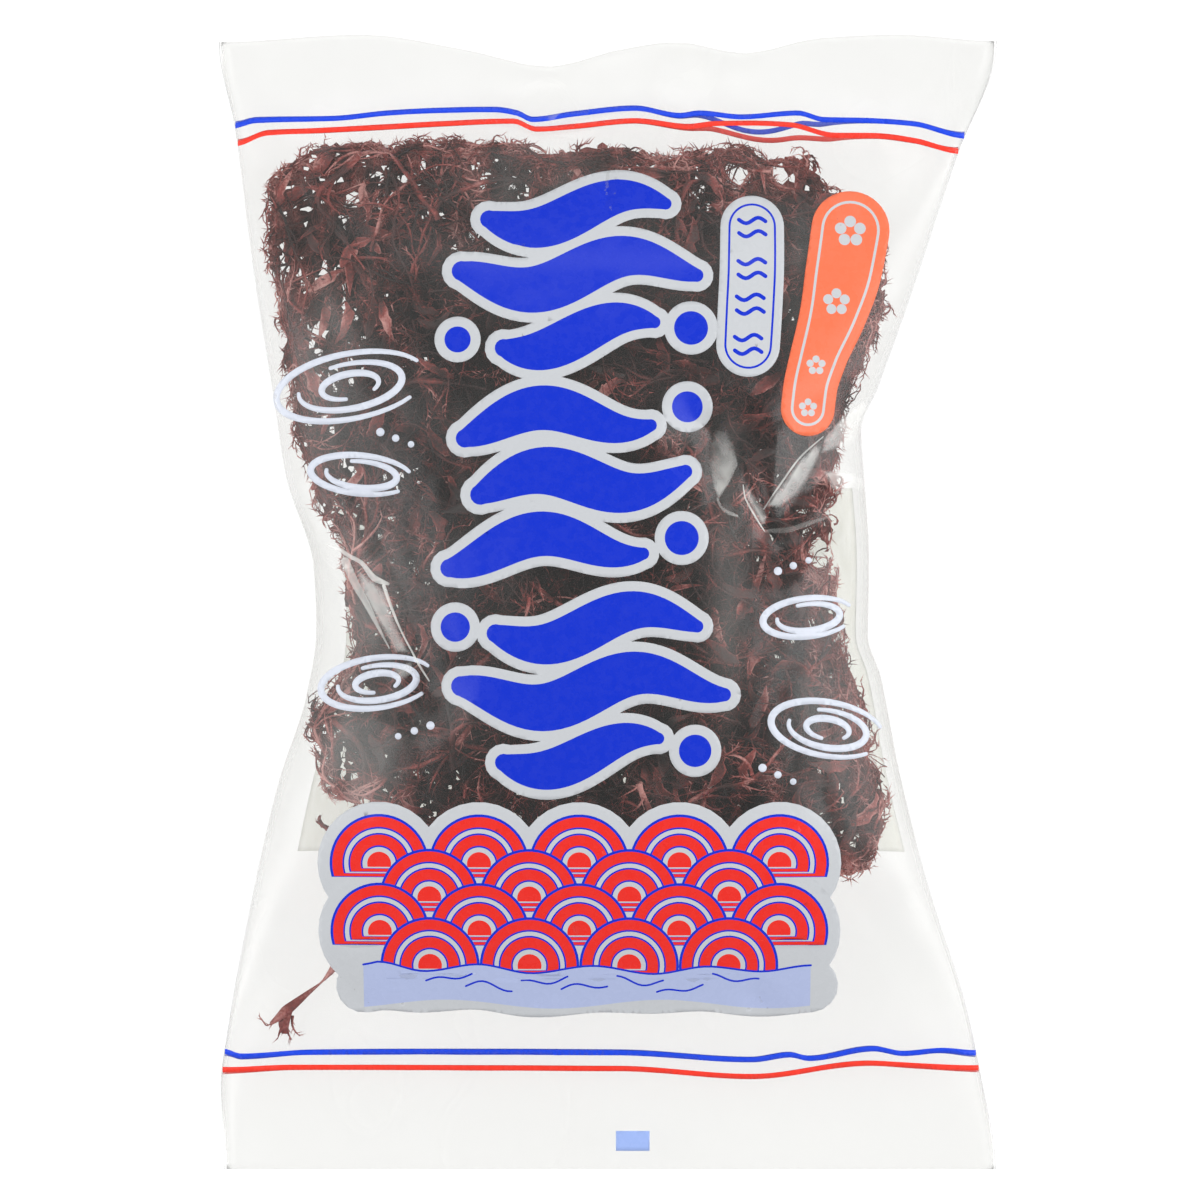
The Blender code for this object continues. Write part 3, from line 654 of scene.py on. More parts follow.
def seaweed_material(look):
    """Dried frond skin: near black where thick, red where thin, wrinkled along and across. The red end
    also paints light shining through thin tips and edges.
    """
    made = bpy.data.materials.get("dried_frond")
    if made:
        return made
    made, tree = new_material("dried_frond")
    at = coordinates(tree)
    blotch = speckle(tree, at, 90.0, 2.0)
    grain = speckle(tree, at, 1500.0, 1.0)
    shift = maths(tree, "ADD", ranged(tree, blotch, 0.3, 0.7, -0.22, 0.22),
                  ranged(tree, grain, 0.3, 0.7, -0.1, 0.1))
    ramp = node(tree, "ShaderNodeValToRGB", {0: maths(tree, "ADD", attribute(tree, "redness"), shift)})
    stops = ((0.0, look.dark), (0.4, look.brown), (0.7, look.red), (1.0, look.tip))
    elements = ramp.color_ramp.elements
    while len(elements) < len(stops):
        elements.new(0.5)
    for element, (at_value, colour) in zip(elements, stops):
        element.position = at_value
        element.color = (*colour, 1)
    wrinkle = speckle(tree, at, 1300.0, 1.0)
    return finished(made, principled(tree, ramp.outputs[0], Specular_IOR_Level=0.35,
                                  Roughness=ranged(tree, grain, 0.3, 0.7, 0.45, 0.7),
                                  Normal=bumped(tree, wrinkle, 0.5, 0.0003)))


def felt_material(look):
    """The matted depth of a clump: fine dark fibres that cross each other."""
    made = bpy.data.materials.get("matted_fronds")
    if made:
        return made
    made, tree = new_material("matted_fronds")
    at = coordinates(tree)
    sway = node(tree, "ShaderNodeTexNoise", {"Vector": at, "Scale": 160.0, "Detail": 1.0}).outputs[1]
    bent = summed(tree, at, scaled(tree, sway, 0.006))
    fibres = 0.0
    for turn in (0.4, 1.5, 2.6):
        ridge = apart(tree, speckle(tree, bent, 900.0, 1.0, (1.0, 0.16, 1.0), turn))
        fibres = maths(tree, "MAXIMUM", ranged(tree, ridge, 0.0, 0.06, 1.0, 0.0), fibres)
    blotch = ranged(tree, speckle(tree, at, 110.0, 2.0), 0.35, 0.65, 0.25, 1.0)
    streaked = maths(tree, "MULTIPLY", fibres, blotch)
    deep = blended(tree, streaked, look.dark, look.brown)
    # The ruddy side, up to the tip colour, is partly red streaks and partly painted light shining through
    # the mass's thin edge
    ruddy = blended(tree, streaked, look.red, look.tip)
    red_tone = ranged(tree, speckle(tree, at, 160.0, 2.0), 0.3, 0.7, -0.3, 0.3)
    red_tone_and_glow = maths(tree, "ADD", attribute(tree, "redness"), red_tone)
    colour = blended(tree, ranged(tree, red_tone_and_glow, 0.2, 1.0, 0.0, 1.0), deep, ruddy)
    lumps = speckle(tree, at, 1000.0, 1.0)
    return finished(made, principled(tree, colour, Roughness=0.85, Specular_IOR_Level=0.15,
                                  Normal=bumped(tree, lumps, 1.0, 0.0008)))


def linked(name, data):
    """A new object in the scene."""
    made = bpy.data.objects.new(name, data)
    bpy.context.scene.collection.objects.link(made)
    return made


def store(mesh, name, domain, values):
    mesh.attributes.new(name, "FLOAT", domain).data.foreach_set("value", values.astype(np.float32))


def mesh_piece(name, points, faces, materials, ink_of=None):
    """An object from points in millimetres and faces."""
    mesh = bpy.data.meshes.new(name)
    mesh.from_pydata((np.asarray(points, float) * MM).tolist(), [], faces)
    for material in materials:
        mesh.materials.append(material)
    if ink_of is not None:
        mesh.polygons.foreach_set("material_index", np.asarray(ink_of, np.int32))
    mesh.shade_smooth()
    mesh.update()
    return linked(name, mesh)


def thicken(piece, wall, offset):
    solidify = piece.modifiers.new("Wall", "SOLIDIFY")
    solidify.thickness = wall
    solidify.offset = offset
    solidify.use_even_offset = True


def signed_volume(points, quads):
    corners = points[np.asarray(quads)]
    crosses = np.cross(corners[:, 1] - corners[:, 0], corners[:, 2] - corners[:, 0])
    return float(np.einsum("ij,ij->i", corners[:, 0] - points.mean(0), crosses).sum())


def grid_quads(rows, columns, closed):
    """Quads of a grid of points, row by row. A closed grid joins its last column to its first."""
    index = np.arange(rows * columns).reshape(rows, columns)
    right = np.roll(index, -1, axis=1) if closed else index[:, 1:]
    left = index if closed else index[:, :-1]
    quads = np.stack([left[:-1], right[:-1], right[1:], left[1:]], axis=-1)
    return quads.reshape(-1, 4)


def even_shares(count):
    """Places across the bag, closer together towards the folds."""
    t = np.linspace(-1, 1, count)
    return 0.6 * t + 0.4 * np.sin(t * math.pi / 2)


def film_points(share, y, side):
    x = place(share, y)
    z = front_height(x, y) if side > 0 else back_height(x, y)
    z = np.where(np.abs(share) >= 1, smooth(FOLD_HEIGHT, y) + flutter(x, y), z)
    sag = dip(x, y)
    return np.stack([x, y - sag, z - DIP_DROP * sag], axis=-1)


def finish_piece(piece, slot, *nodes):
    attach(piece, "root")
    if nodes:
        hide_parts(*nodes)


def haze_and_sheen(x, y):
    """How milky the front film is over a point, besides its even haze: a faint uneven haze, and spots of
    painted highlight.
    """
    milk = 0.006 + 0.01 * noise(x / 14, y / 20, 103)
    for (middle_x, middle_y), (reach_x, reach_y), most in HAZE_AND_SHEEN_SPOTS:
        milk = milk + most * np.exp(-((x - middle_x) / reach_x) ** 2 - ((y - middle_y) / reach_y) ** 2)
    return milk * (1 + 0.5 * noise(x / 5, y / 14, 101))


def bag_film(look):
    """The bag: one tube of film, flattened at both ends."""
    stations = np.linspace(-HALF_LENGTH, HALF_LENGTH, look.film_rows)[:, None]
    front = even_shares(look.film_columns)
    back = even_shares(look.film_columns // 4)[::-1][1:-1]
    rings = [film_points(shares[None, :], stations, side) for shares, side in ((front, 1), (back, -1))]
    grid = np.concatenate(rings, axis=1)
    points = grid.reshape(-1, 3)
    quads = grid_quads(grid.shape[0], grid.shape[1], True)
    if signed_volume(points, quads) < 0:
        quads = quads[:, ::-1]
    piece = mesh_piece("clear_film", points, quads.tolist(), [film_material(look)])
    front_only = np.arange(grid.shape[1]) < look.film_columns
    milk = (haze_and_sheen(points[:, 0], points[:, 1]).reshape(grid.shape[:2]) * front_only).ravel()
    store(piece.data, "milk", "POINT", milk)
    thicken(piece, look.film_wall, -1)
    finish_piece(piece, "film", "bag_film")


def back_label(look):
    """A sheet of paper that follows the outside of the back film."""
    low = LABEL_LOW / MM
    high = LABEL_HIGH / MM
    y = np.linspace(low.y, high.y, look.label_rows)[:, None]
    bottom_share = across(np.array([low.x, high.x]), np.array([low.y, low.y]))
    share = np.linspace(bottom_share[0], bottom_share[1], look.label_columns)[None, :]
    x = place(share, y)
    height = film_height(0, x, y) - look.label_gap / MM * slant(0, x, y)
    points = np.stack([x, y + 0 * share, height], axis=-1).reshape(-1, 3)
    quads = grid_quads(look.label_rows, look.label_columns, False)[:, ::-1]
    piece = mesh_piece("paper_label", points, quads.tolist(), [paper_material(look)])
    thicken(piece, look.label_wall, 1)
    finish_piece(piece, "label", "back_label")


def disc(middle, radius, sides=36, start=0.0, sweep=360.0):
    """Points round a circle, or round a part of it."""
    turns = np.radians(np.linspace(start, start + sweep, sides, endpoint=sweep < 360))
    return np.stack([middle[0] + radius * np.cos(turns), middle[1] + radius * np.sin(turns)], axis=-1)


def ribbon(line, widths, end_points=9):
    """Outline of a stroke along a line, anticlockwise, with half circles at its ends."""
    line = np.asarray(line, float)
    half = np.broadcast_to(np.asarray(widths, float) / 2, len(line))
    run = np.gradient(line, axis=0)
    run /= np.linalg.norm(run, axis=1)[:, None]
    aside = np.stack([-run[:, 1], run[:, 0]], axis=-1) * half[:, None]
    headings = np.degrees(np.arctan2(run[:, 1], run[:, 0]))
    far_end = disc(line[-1], half[-1], end_points, headings[-1] - 90, 180)[1:-1]
    near_end = disc(line[0], half[0], end_points, headings[0] + 90, 180)[1:-1]
    return np.concatenate([line - aside, far_end, (line + aside)[::-1], near_end])


def resampled(line, widths, places):
    """x, y and width at places from 0 to 1 along a smooth curve through a line's points."""
    along = np.linspace(0, 1, len(line))
    return (smooth(list(zip(along, values)), places) for values in (*np.array(line).T, widths))


def capsule(line, half_widths, inset=0.0):
    """A round-ended strip along a gently bent line."""
    x, y, half = resampled(line, half_widths, np.linspace(0, 1, 30))
    return ribbon(np.stack([x, y], -1), 2 * (half - inset), 21)


def tilted(points, middle, degrees):
    turn = math.radians(degrees)
    x, y = np.asarray(points).T
    return np.stack([middle[0] + x * math.cos(turn) - y * math.sin(turn),
                     middle[1] + x * math.sin(turn) + y * math.cos(turn)], axis=-1)


def lattice(low, high, step):
    """Points of a triangular lattice over a box."""
    xs, ys = np.arange(low[0], high[0], step), np.arange(low[1], high[1], step * 0.87)
    grid = np.array([(x + (row % 2) * step / 2, y) for row, y in enumerate(ys) for x in xs])
    return grid.reshape(-1, 2)


def inside_left(outline):
    """The outline, turned round if need be so that its inside lies to its left."""
    x, y = np.array(outline, float).T
    return outline if (x * np.roll(y, -1) - np.roll(x, -1) * y).sum() > 0 else outline[::-1]


def laid_on_film(name, shapes, materials, wall, lift, side=1):
    """A sheet laid on the film. Shapes are (outline, material number) pairs, and a later one covers an
    earlier one. Returns the sheet, and the number of the shape that each face belongs to.
    """
    corners, faces = [], []
    for outline in (inside_left(outline) for outline, _ in shapes):
        faces.append(list(range(len(corners), len(corners) + len(outline))))
        corners.extend(outline)
    corners = np.array(corners)
    filling = lattice(corners.min(0), corners.max(0), INK_STEP)
    given = [Vector(point) for point in np.concatenate([corners, filling]).tolist()]
    flat, _, triangles, _, _, owners = delaunay_2d_cdt(given, [], faces, 1, 1e-4)
    triangles = [triangle for triangle, owner in zip(triangles, owners) if owner]
    owners = [max(owner) for owner in owners if owner]
    used = sorted({corner for triangle in triangles for corner in triangle})
    number = {old: new for new, old in enumerate(used)}
    flat = np.array([flat[i][:] for i in used])
    x, y = flat.T
    film = 1 if side > 0 else 0
    height = film_height(film, x, y) + side * lift * slant(film, x, y)
    triangles = [[number[corner] for corner in triangle][::side] for triangle in triangles]
    points = np.stack([x, y, height], axis=-1)
    piece = mesh_piece(name, points, triangles, materials, [shapes[owner][1] for owner in owners])
    thicken(piece, wall, 1)
    return piece, owners


def inked(name, shapes, look, side=1):
    """One printed sheet. Shapes are (outline, ink) pairs."""
    inks = ink_materials(look)
    names = sorted({ink for _, ink in shapes})
    numbered = [(outline, names.index(ink)) for outline, ink in shapes]
    piece, _ = laid_on_film(name, numbered, [inks[n] for n in names], look.ink_wall, INK_LIFT, side)
    finish_piece(piece, "print")


def edge_distance(spot, outline):
    """How far a point lies from the nearest edge of an outline."""
    start = np.array(outline, float)
    run = np.roll(start, -1, axis=0) - start
    share = np.clip(((spot - start) * run).sum(1) / (run * run).sum(1), 0, 1)
    return np.hypot(*(start + share[:, None] * run - spot).T).min()


def pressed_laps(look):
    """The laps of pressed film, which fade out at their outlines, and their bright edges. Their haze is
    partly the doubled film's own and partly painted highlight, and the edges are painted highlight.
    """
    shapes, milk_and_sheen_at = [], []
    for outline, bright, faint, most, least in LAPS:
        shapes.append((outline, 0))
        milk_and_sheen_at.append((np.array(bright), np.subtract(faint, bright), most, least))
    for line, widths, milk in LAP_EDGES:
        x, y, wide = resampled(line, widths, np.linspace(0, 1, 24))
        shapes.append((ribbon(np.stack([x, y], -1), wide), 0))
        milk_and_sheen_at.append((np.zeros(2), np.ones(2), milk, milk))
    wall = look.film_wall / 3
    piece, owners = laid_on_film("pressed_film_laps", shapes, [lap_material(look)], wall, LAP_LIFT)
    mesh = piece.data
    places = np.array([vertex.co[:2] for vertex in mesh.vertices]) / MM
    milk = np.empty(len(mesh.loops))
    for face, owner in zip(mesh.polygons, owners):
        bright, run, most, least = milk_and_sheen_at[owner]
        for loop in face.loop_indices:
            spot = places[mesh.loops[loop].vertex_index]
            share = np.clip((spot - bright) @ run / (run @ run), 0, 1)
            milk[loop] = (most + (least - most) * share) * (1 + 0.4 * noise(*(spot / 2.6), 102))
            if owner < len(LAPS):
                milk[loop] *= ease(edge_distance(spot, LAPS[owner][0]) / LAP_FADE)
    store(mesh, "milk", "CORNER", milk)
    finish_piece(piece, "film")


def stripe(line, side, width):
    """A stripe from fold to fold along a line seen from above."""
    x = np.linspace(-110, 110, 190)
    y = smooth(line, x)
    if side < 0:
        middle, reach, depth = BACK_SAG
        y = y * BACK_SHIFT - depth * np.exp(-((x - middle) / reach) ** 2) * (y > 0)
    left, right = smooth(LEFT_FOLD, y + dip(x, y)), smooth(RIGHT_FOLD, y + dip(x, y))
    x = np.clip(x, left + STRIPE_INSET, right - STRIPE_INSET)
    keep = np.concatenate([[True], np.diff(x) > 0.05])
    x, y = x[keep], y[keep]
    return np.concatenate([np.stack([x, y - width / 2], -1), np.stack([x, y + width / 2], -1)[::-1]])


def stripes(look):
    """Blue and red stripes round the bag near both ends."""
    width = look.stripe_width / MM
    for label, side in (("front", 1), ("back", -1)):
        for end, *lines in (("top", TOP_BLUE, TOP_RED), ("bottom", BOTTOM_BLUE, BOTTOM_RED)):
            pair = [(stripe(line, side, width), ink)
                    for line, ink in zip(lines, ("bright_blue", "bright_red"))]
            inked(f"stripes_{end}_{label}", pair, look, side)


def wave_stroke(left, right, height, thickness, phase, extra):
    """A brush stroke of water, full in its middle and tapered to round ends, widened by `extra`."""
    t = np.linspace(0, 1, 40)
    x = left + t * (right - left)
    y = height + STROKE_RISE * x + STROKE_SWAY * np.sin(2 * math.pi * (x / STROKE_WAVE + phase))
    body = np.sin(math.pi * (0.06 + 0.88 * t) ** 0.85) ** 0.7
    return ribbon(np.stack([x, y], -1), thickness * body + 2 * extra)


def wave_strokes(extra):
    for middle, phase, strokes in WAVE_GROUPS:
        for row, (left, right, thickness) in enumerate(strokes):
            yield wave_stroke(left, right, middle + (1 - row) * STROKE_PITCH, thickness, phase, extra)


def wave_motif(look):
    """A column of bold blue strokes and drops of water with pale outlines."""
    shapes = []
    for extra, ink in ((OUTLINE_WIDTH, "pale"), (0.0, "blue")):
        shapes += [(outline, ink) for outline in wave_strokes(extra)]
        shapes += [(disc(middle, radius + extra), ink) for middle, radius in WATER_DROPS]
    inked("blue_waves", shapes, look)


def fan_middles():
    """Middles of the wave-scale fans, back row first, each row shifted by half a fan."""
    for row in range(FAN_ROWS):
        shifted = row % 2
        for column in range(FANS_ACROSS - shifted):
            yield FAN_LEFT + (2 * column + shifted) * FAN_RADIUS, FAN_TOP - row * FAN_STEP


def fan(middle, radius):
    return disc(middle, radius, 30, -FAN_DIP, 180 + 2 * FAN_DIP)


def wave_picture(look):
    """Rows of red wave scales on a pale ground, inside a scalloped halo."""
    ground = np.array(GROUND_LINE, float)
    xs = np.linspace(ground[0, 0], ground[-1, 0], 64)
    top = smooth(GROUND_LINE, xs)
    bottom = top.min() - GROUND_DEPTH + 1.2 * np.sin(xs / 9)
    body = np.concatenate([np.stack([xs, bottom], -1), np.stack([xs, top], -1)[::-1]])
    halo_line = np.stack([xs, (top + bottom) / 2], -1)
    shapes = [(ribbon(halo_line, GROUND_DEPTH + 2 * HALO), "pale")]
    shapes += [(disc(middle, FAN_RADIUS + HALO, 30), "pale") for middle in fan_middles()
               if middle[1] > FAN_TOP - 2.5 * FAN_STEP]
    for middle in fan_middles():
        shapes += [(fan(middle, FAN_RADIUS * share), ink) for share, ink in FAN_RINGS]
    shapes.append((body, "ground"))
    shapes.append((ribbon(np.stack([xs, top], -1), 0.55), "blue"))
    for drop in (2.6, 5.2):
        for start in np.arange(xs[0] + 6 + 4 * drop, xs[-1] - 16, 25.0):
            x = np.linspace(start, start + 12, 12)
            line = np.stack([x, smooth(GROUND_LINE, x) - drop + 0.7 * np.sin(x / 1.9)], -1)
            shapes.append((ribbon(line, 0.5), "blue"))
    inked("red_wave_scales", shapes, look)


def ripple_mark(middle, size):
    """Two small wavy strokes, one over the other."""
    x = np.linspace(-size, size, 12)
    for drop in (-0.32, 0.32):
        y = middle[1] + size * drop * 1.6 + 0.22 * size * np.sin(3.4 * x / size)
        yield ribbon(np.stack([middle[0] + x, y], -1), size * 0.3)


def blossom_mark(middle, size):
    """Five round petals about a middle."""
    for petal in range(5):
        turn, out = math.radians(90 + 72 * petal), 0.62 * size
        yield disc((middle[0] + out * math.cos(turn), middle[1] + out * math.sin(turn)), 0.36 * size, 14)


def capsules(look):
    """Two upright capsule shapes, each with an inner line and four small marks."""
    for name, (line, half), fill, ink, inset, thin, mark in (
            ("white_capsule", WHITE_CAPSULE, "pale", "blue", 2.1, 0.55, ripple_mark),
            ("orange_capsule", ORANGE_CAPSULE, "orange", "pale", 2.6, 0.7, blossom_mark)):
        shapes = [(capsule(line, half), fill), (capsule(line, half, inset), ink),
                  (capsule(line, half, inset + thin), fill)]
        for at in np.linspace(0.03, 0.97, 4):
            x, y, wide = resampled(line, half, at)
            shapes += [(outline, ink) for outline in mark((x, y), 0.56 * (wide - inset))]
        inked(name, shapes, look)


def ripples(look):
    """Nested white rings, open at one end, and rows of dots at the sides of the front."""
    for number, (middle, width, height, tilt, rings) in enumerate(RIPPLES):
        shapes = []
        for ring in range(rings):
            share = 1 - 0.31 * ring
            turn = np.radians(np.linspace(24, 318, 40) + 150 * ring)
            line = np.stack([share * width / 2 * np.cos(turn), share * height / 2 * np.sin(turn)], -1)
            widths = RIPPLE_LINE * (0.45 + 0.55 * np.sin(np.linspace(0.15, 2.99, 40)))
            shapes.append((ribbon(tilted(line, middle, tilt), widths), "white"))
        inked(f"white_ripples_{number + 1}", shapes, look)
    dots = []
    for first, step, count in DOT_ROWS:
        dots += [(disc(np.add(first, np.multiply(step, i)), 1.1 - 0.12 * i, 14), "white")
                 for i in range(count)]
    inked("white_dots", dots, look)


def eye_mark(look):
    """The small registration mark near the bottom edge."""
    (left, low), (right, high) = EYE_MARK
    inked("eye_mark", [([(left, low), (right, low), (right, high), (left, high)], "mark")], look)


def inside_mass(x, y):
    """How far points lie inside the outline of the seaweed, in millimetres."""
    inside = np.minimum(x - smooth(MASS_LEFT, y), smooth(MASS_RIGHT, y) - x)
    inside = np.minimum(inside, smooth(MASS_TOP, x) - y)
    inside = np.minimum(inside, y - smooth(MASS_BOTTOM, x))
    for (px, py), radius in BARE_PATCHES:
        inside = np.minimum(inside, 1.5 * (np.hypot(x - px, y - py) - radius))
    return inside


def lobed(x, y):
    """The outline's distance with ragged bays bitten out of it."""
    return inside_mass(x, y) - 2.3 * np.clip(noise(x / 6, y / 6, 31) + 0.15, 0, 1)


def nearest_clump(x, y):
    middles = np.array(list(CLUMP_MIDDLES.values()), float)
    return np.argmin(np.hypot(x[:, None] - middles[:, 0], y[:, None] - middles[:, 1]), axis=1)


def level_height(x, y, level, phase):
    """Height of a strand in the mass, for a level from 0 at the bottom to 1 at the top."""
    low = film_height(0, x, y) + LOW_GAP * slant(0, x, y)
    hollow = HOLLOW * np.clip(noise(x / 17, y / 17, 41) + 0.15, 0, 1)
    high = film_height(1, x, y) - (HIGH_GAP + hollow) * slant(1, x, y)
    high = np.maximum(high, low + 0.5)
    level = np.clip(level + 0.13 * noise(x / 12 + phase, y / 12, 42), 0, 1)
    thin = np.sqrt(np.clip((inside_mass(x, y) + 2) / 26, 0.02, 1))
    middle = low + (high - low) * THIN_LEVEL
    return middle + (low + (high - low) * level - middle) * thin


def wander(dice, roots, headings, phases, steps, stride, curl, stray):
    """Paths that curl away from their roots and turn back at the edge of the mass."""
    path = np.empty((len(roots), steps, 2))
    path[:, 0] = roots
    turning = dice.normal(0, curl, len(roots))
    for step in range(1, steps):
        x, y = path[:, step - 1].T
        turning = 0.8 * turning + dice.normal(0, curl, len(roots))
        headings = headings + turning + 0.25 * noise(x / 9 + phases, y / 9, 51)
        ahead = 3 * stride
        blocked = lobed(x + ahead * np.cos(headings), y + ahead * np.sin(headings)) < -stray
        inward = np.arctan2(HEART[1] - y, HEART[0] - x)
        swing = (inward - headings + math.pi) % (2 * math.pi) - math.pi
        headings = np.where(blocked, headings + np.clip(swing, -MOST_SWING, MOST_SWING), headings)
        path[:, step] = path[:, step - 1] + stride * np.stack([np.cos(headings), np.sin(headings)], -1)
    return path


def patchy(x, y):
    """How much redder the seaweed is than its middle tone: in streaks, which are its own colour, and
    where the mass thins out at its edge, which is painted light shining through.
    """
    bent_x, bent_y = x + 7 * noise(x / 15, y / 15, 93), y + 7 * noise(x / 15, y / 15, 94)
    streaks = 0.36 * noise(bent_x / 4.5, bent_y / 15, 91) + 0.16 * noise(x / 3.2, y / 4.2, 92)
    # Redder towards the outline: painted light that shines through the thin edge of the mass
    return streaks + 0.3 * (1 - ease(inside_mass(x, y) / 14))


def pinholes(x, y):
    """Below zero in the pinholes that let light through the mass towards its edge."""
    clustered = 0.4 * noise(x / 9, y / 9, 84) - 0.1 * ease((-x - 20) / 40)
    return 0.585 + 0.36 * ease((inside_mass(x, y) - 4) / 40) + clustered - noise(x / 1.6, y / 1.9, 81)


def kept(path):
    """Which paths stay in the mass, mostly clear of its pinholes, and fairly straight."""
    x, y = path[..., 0], path[..., 1]
    run = np.diff(x, axis=1) + 1j * np.diff(y, axis=1)
    turned = np.ptp(np.cumsum(np.angle(run[:, 1:] / run[:, :-1]), axis=1), axis=1)
    inside = inside_mass(x, y).min(axis=1) > -LONGEST_STRAY
    return inside & ((pinholes(x, y) < 0).mean(axis=1) < MOST_OVER_HOLES) & (turned < MOST_TURNED)


def strand(path, level, phases, widths, redness):
    """One batch of strands: points, half widths, redness and twist, strand by strand."""
    steps = path.shape[1]
    stays = kept(path)
    path, phases, widths, redness = (values[stays] for values in (path, phases, widths, redness))
    x, y = path[..., 0], path[..., 1]
    z = level_height(x, y, (level + np.zeros(steps))[stays], phases[:, None])
    t = np.linspace(0, 1, steps)[None, :]
    taper = np.clip(1.15 - t, 0.1, 1) ** 0.7
    half = widths[:, None] * taper * (1 + 0.3 * noise(x / 2.2, y / 2.2 + phases[:, None], 61))
    # Redder towards the tip: painted light shining through the thin tips
    red = np.clip(redness[:, None] + patchy(x, y) + 0.2 * t**2, 0, 1)
    return {"points": np.stack([x, y, z], -1), "half_width": half, "redness": red,
            "twist": 1.1 * noise(x / 6, y / 6 + phases[:, None], 62)}


def scattered(dice, roots, phases, *run):
    """Paths from roots and in headings drawn at random."""
    count = len(phases)
    starts = roots[dice.integers(0, len(roots), count)]
    return wander(dice, starts, dice.uniform(0, 2 * math.pi, count), phases, *run)


def stems(dice, roots, area, look):
    """Long stems and the two generations of side branches that they carry."""
    count = int(area * look.main_density)
    level = np.where(dice.random(count) < 0.2, dice.uniform(0, 0.3, count), dice.uniform(0.7, 1, count))
    phases = dice.uniform(0, 40, count)
    path = scattered(dice, roots, phases, STEM_STEPS, 1.9, 0.09, 0.0)
    widths = dice.uniform(0.24, 0.6, count)
    redness = dice.normal(0.24, 0.13, count)
    broad = dice.random(count) < look.broad_share
    widths[broad] = dice.uniform(0.7, 1.15, broad.sum())
    redness[broad] = dice.uniform(0.3, 0.6, broad.sum())
    level[broad] = dice.uniform(0.84, 1.0, broad.sum())
    batches = [strand(path, level[:, None], phases, widths, redness)]
    for share, steps, (least, most), size in SIDE_BRANCHES:
        forks = int(count * share)
        parent = dice.integers(0, count, forks)
        at = dice.integers(1, STEM_STEPS - 2, forks)
        run = path[parent, at + 1] - path[parent, at - 1]
        turned = dice.choice([-1, 1], forks) * dice.uniform(least, most, forks)
        headings = np.arctan2(run[:, 1], run[:, 0]) + turned
        side = wander(dice, path[parent, at], headings, phases[parent], steps, 1.5, 0.13, 0.6)
        drift = level[parent, None] + np.linspace(0, 1, steps) * dice.normal(0, 0.06, forks)[:, None]
        batches.append(strand(side, drift, phases[parent], widths[parent] * size, redness[parent] + 0.05))
    return batches


def fringe(dice, edge, area, clump, look):
    """Short fine tips that stand out of the clump's outline."""
    count = int(area * look.fringe_density)
    roots = edge[dice.integers(0, len(edge), count)]
    middle = list(CLUMP_MIDDLES.values())[clump]
    outward = np.arctan2(roots[:, 1] - 0.6 * middle[1], roots[:, 0]) + dice.normal(0, 0.8, count)
    phases = dice.uniform(0, 40, count)
    path = wander(dice, roots, outward, phases, 7, 0.75, 0.1, 1.6)
    level = dice.uniform(0.2, 0.9, count)[:, None]
    return strand(path, level, phases, dice.uniform(0.22, 0.46, count), dice.uniform(0.2, 0.6, count))


def blades(dice, roots, area, look):
    """Broad thin blades with ruffled, toothed edges: points, quads and redness of closed sheets."""
    count = int(area * look.blade_density)
    phases = dice.uniform(0, 40, count)
    path = scattered(dice, roots, phases, BLADE_ROWS, 1.5, 0.12, -1.5)
    level = dice.uniform(0.72, 1.0, count)
    widths = dice.uniform(0.6, 1.8, count)
    redness = dice.uniform(0.15, 0.6, count)
    stays = kept(path)
    path = path[stays]
    shift, level, widths, redness = (values[stays, None, None]
                                     for values in (phases, level, widths, redness))
    run = np.gradient(path, axis=1)
    run /= np.linalg.norm(run, axis=2, keepdims=True)
    aside = np.stack([-run[..., 1], run[..., 0]], -1)[:, :, None, :]
    t = np.linspace(0, 1, BLADE_ROWS)[None, :, None]
    u = np.linspace(-1, 1, BLADE_COLUMNS)[None, None, :]
    half = widths * np.sin(math.pi * (0.04 + 0.92 * t) ** 1.4) ** 0.8
    toothed = 1 + 0.75 * noise(9.1 * t + shift, 3 * np.sign(u) + 0 * t, 63)
    spots = path[:, :, None, :] + aside * (u * half * toothed)[..., None]
    x, y = spots[..., 0], spots[..., 1]
    top = level_height(x, y, level + 0 * x, shift)
    top = top - 1.3 * np.abs(noise(x / 2.4 + shift, y / 2.4, 64)) - 0.5 * np.abs(noise(x + shift, y, 65))
    sheets = [np.stack([x, y, top - drop], -1).reshape(len(path), -1, 3) for drop in (BLADE_WALL, 0.0)]
    index = np.arange(BLADE_ROWS * BLADE_COLUMNS).reshape(BLADE_ROWS, BLADE_COLUMNS)
    rim = np.concatenate([index[0], index[1:, -1], index[-1, -2::-1], index[-2:0:-1, 0]])
    after = np.roll(rim, -1)
    quads, size = grid_quads(BLADE_ROWS, BLADE_COLUMNS, False), index.size
    edges = np.stack([rim + size, after + size, after, rim], -1)
    one = np.concatenate([quads[:, ::-1] + size, quads, edges])
    faces = (one[None] + 2 * size * np.arange(len(path))[:, None, None]).reshape(-1, 4)
    # Redder at the blade's sides: painted light shining through its thin edges
    red = np.clip(redness + patchy(x, y) + 0.25 * np.abs(u) ** 3, 0, 1).reshape(len(path), -1)
    return np.concatenate(sheets, 1).reshape(-1, 3), faces, np.concatenate([red, red], 1).ravel()


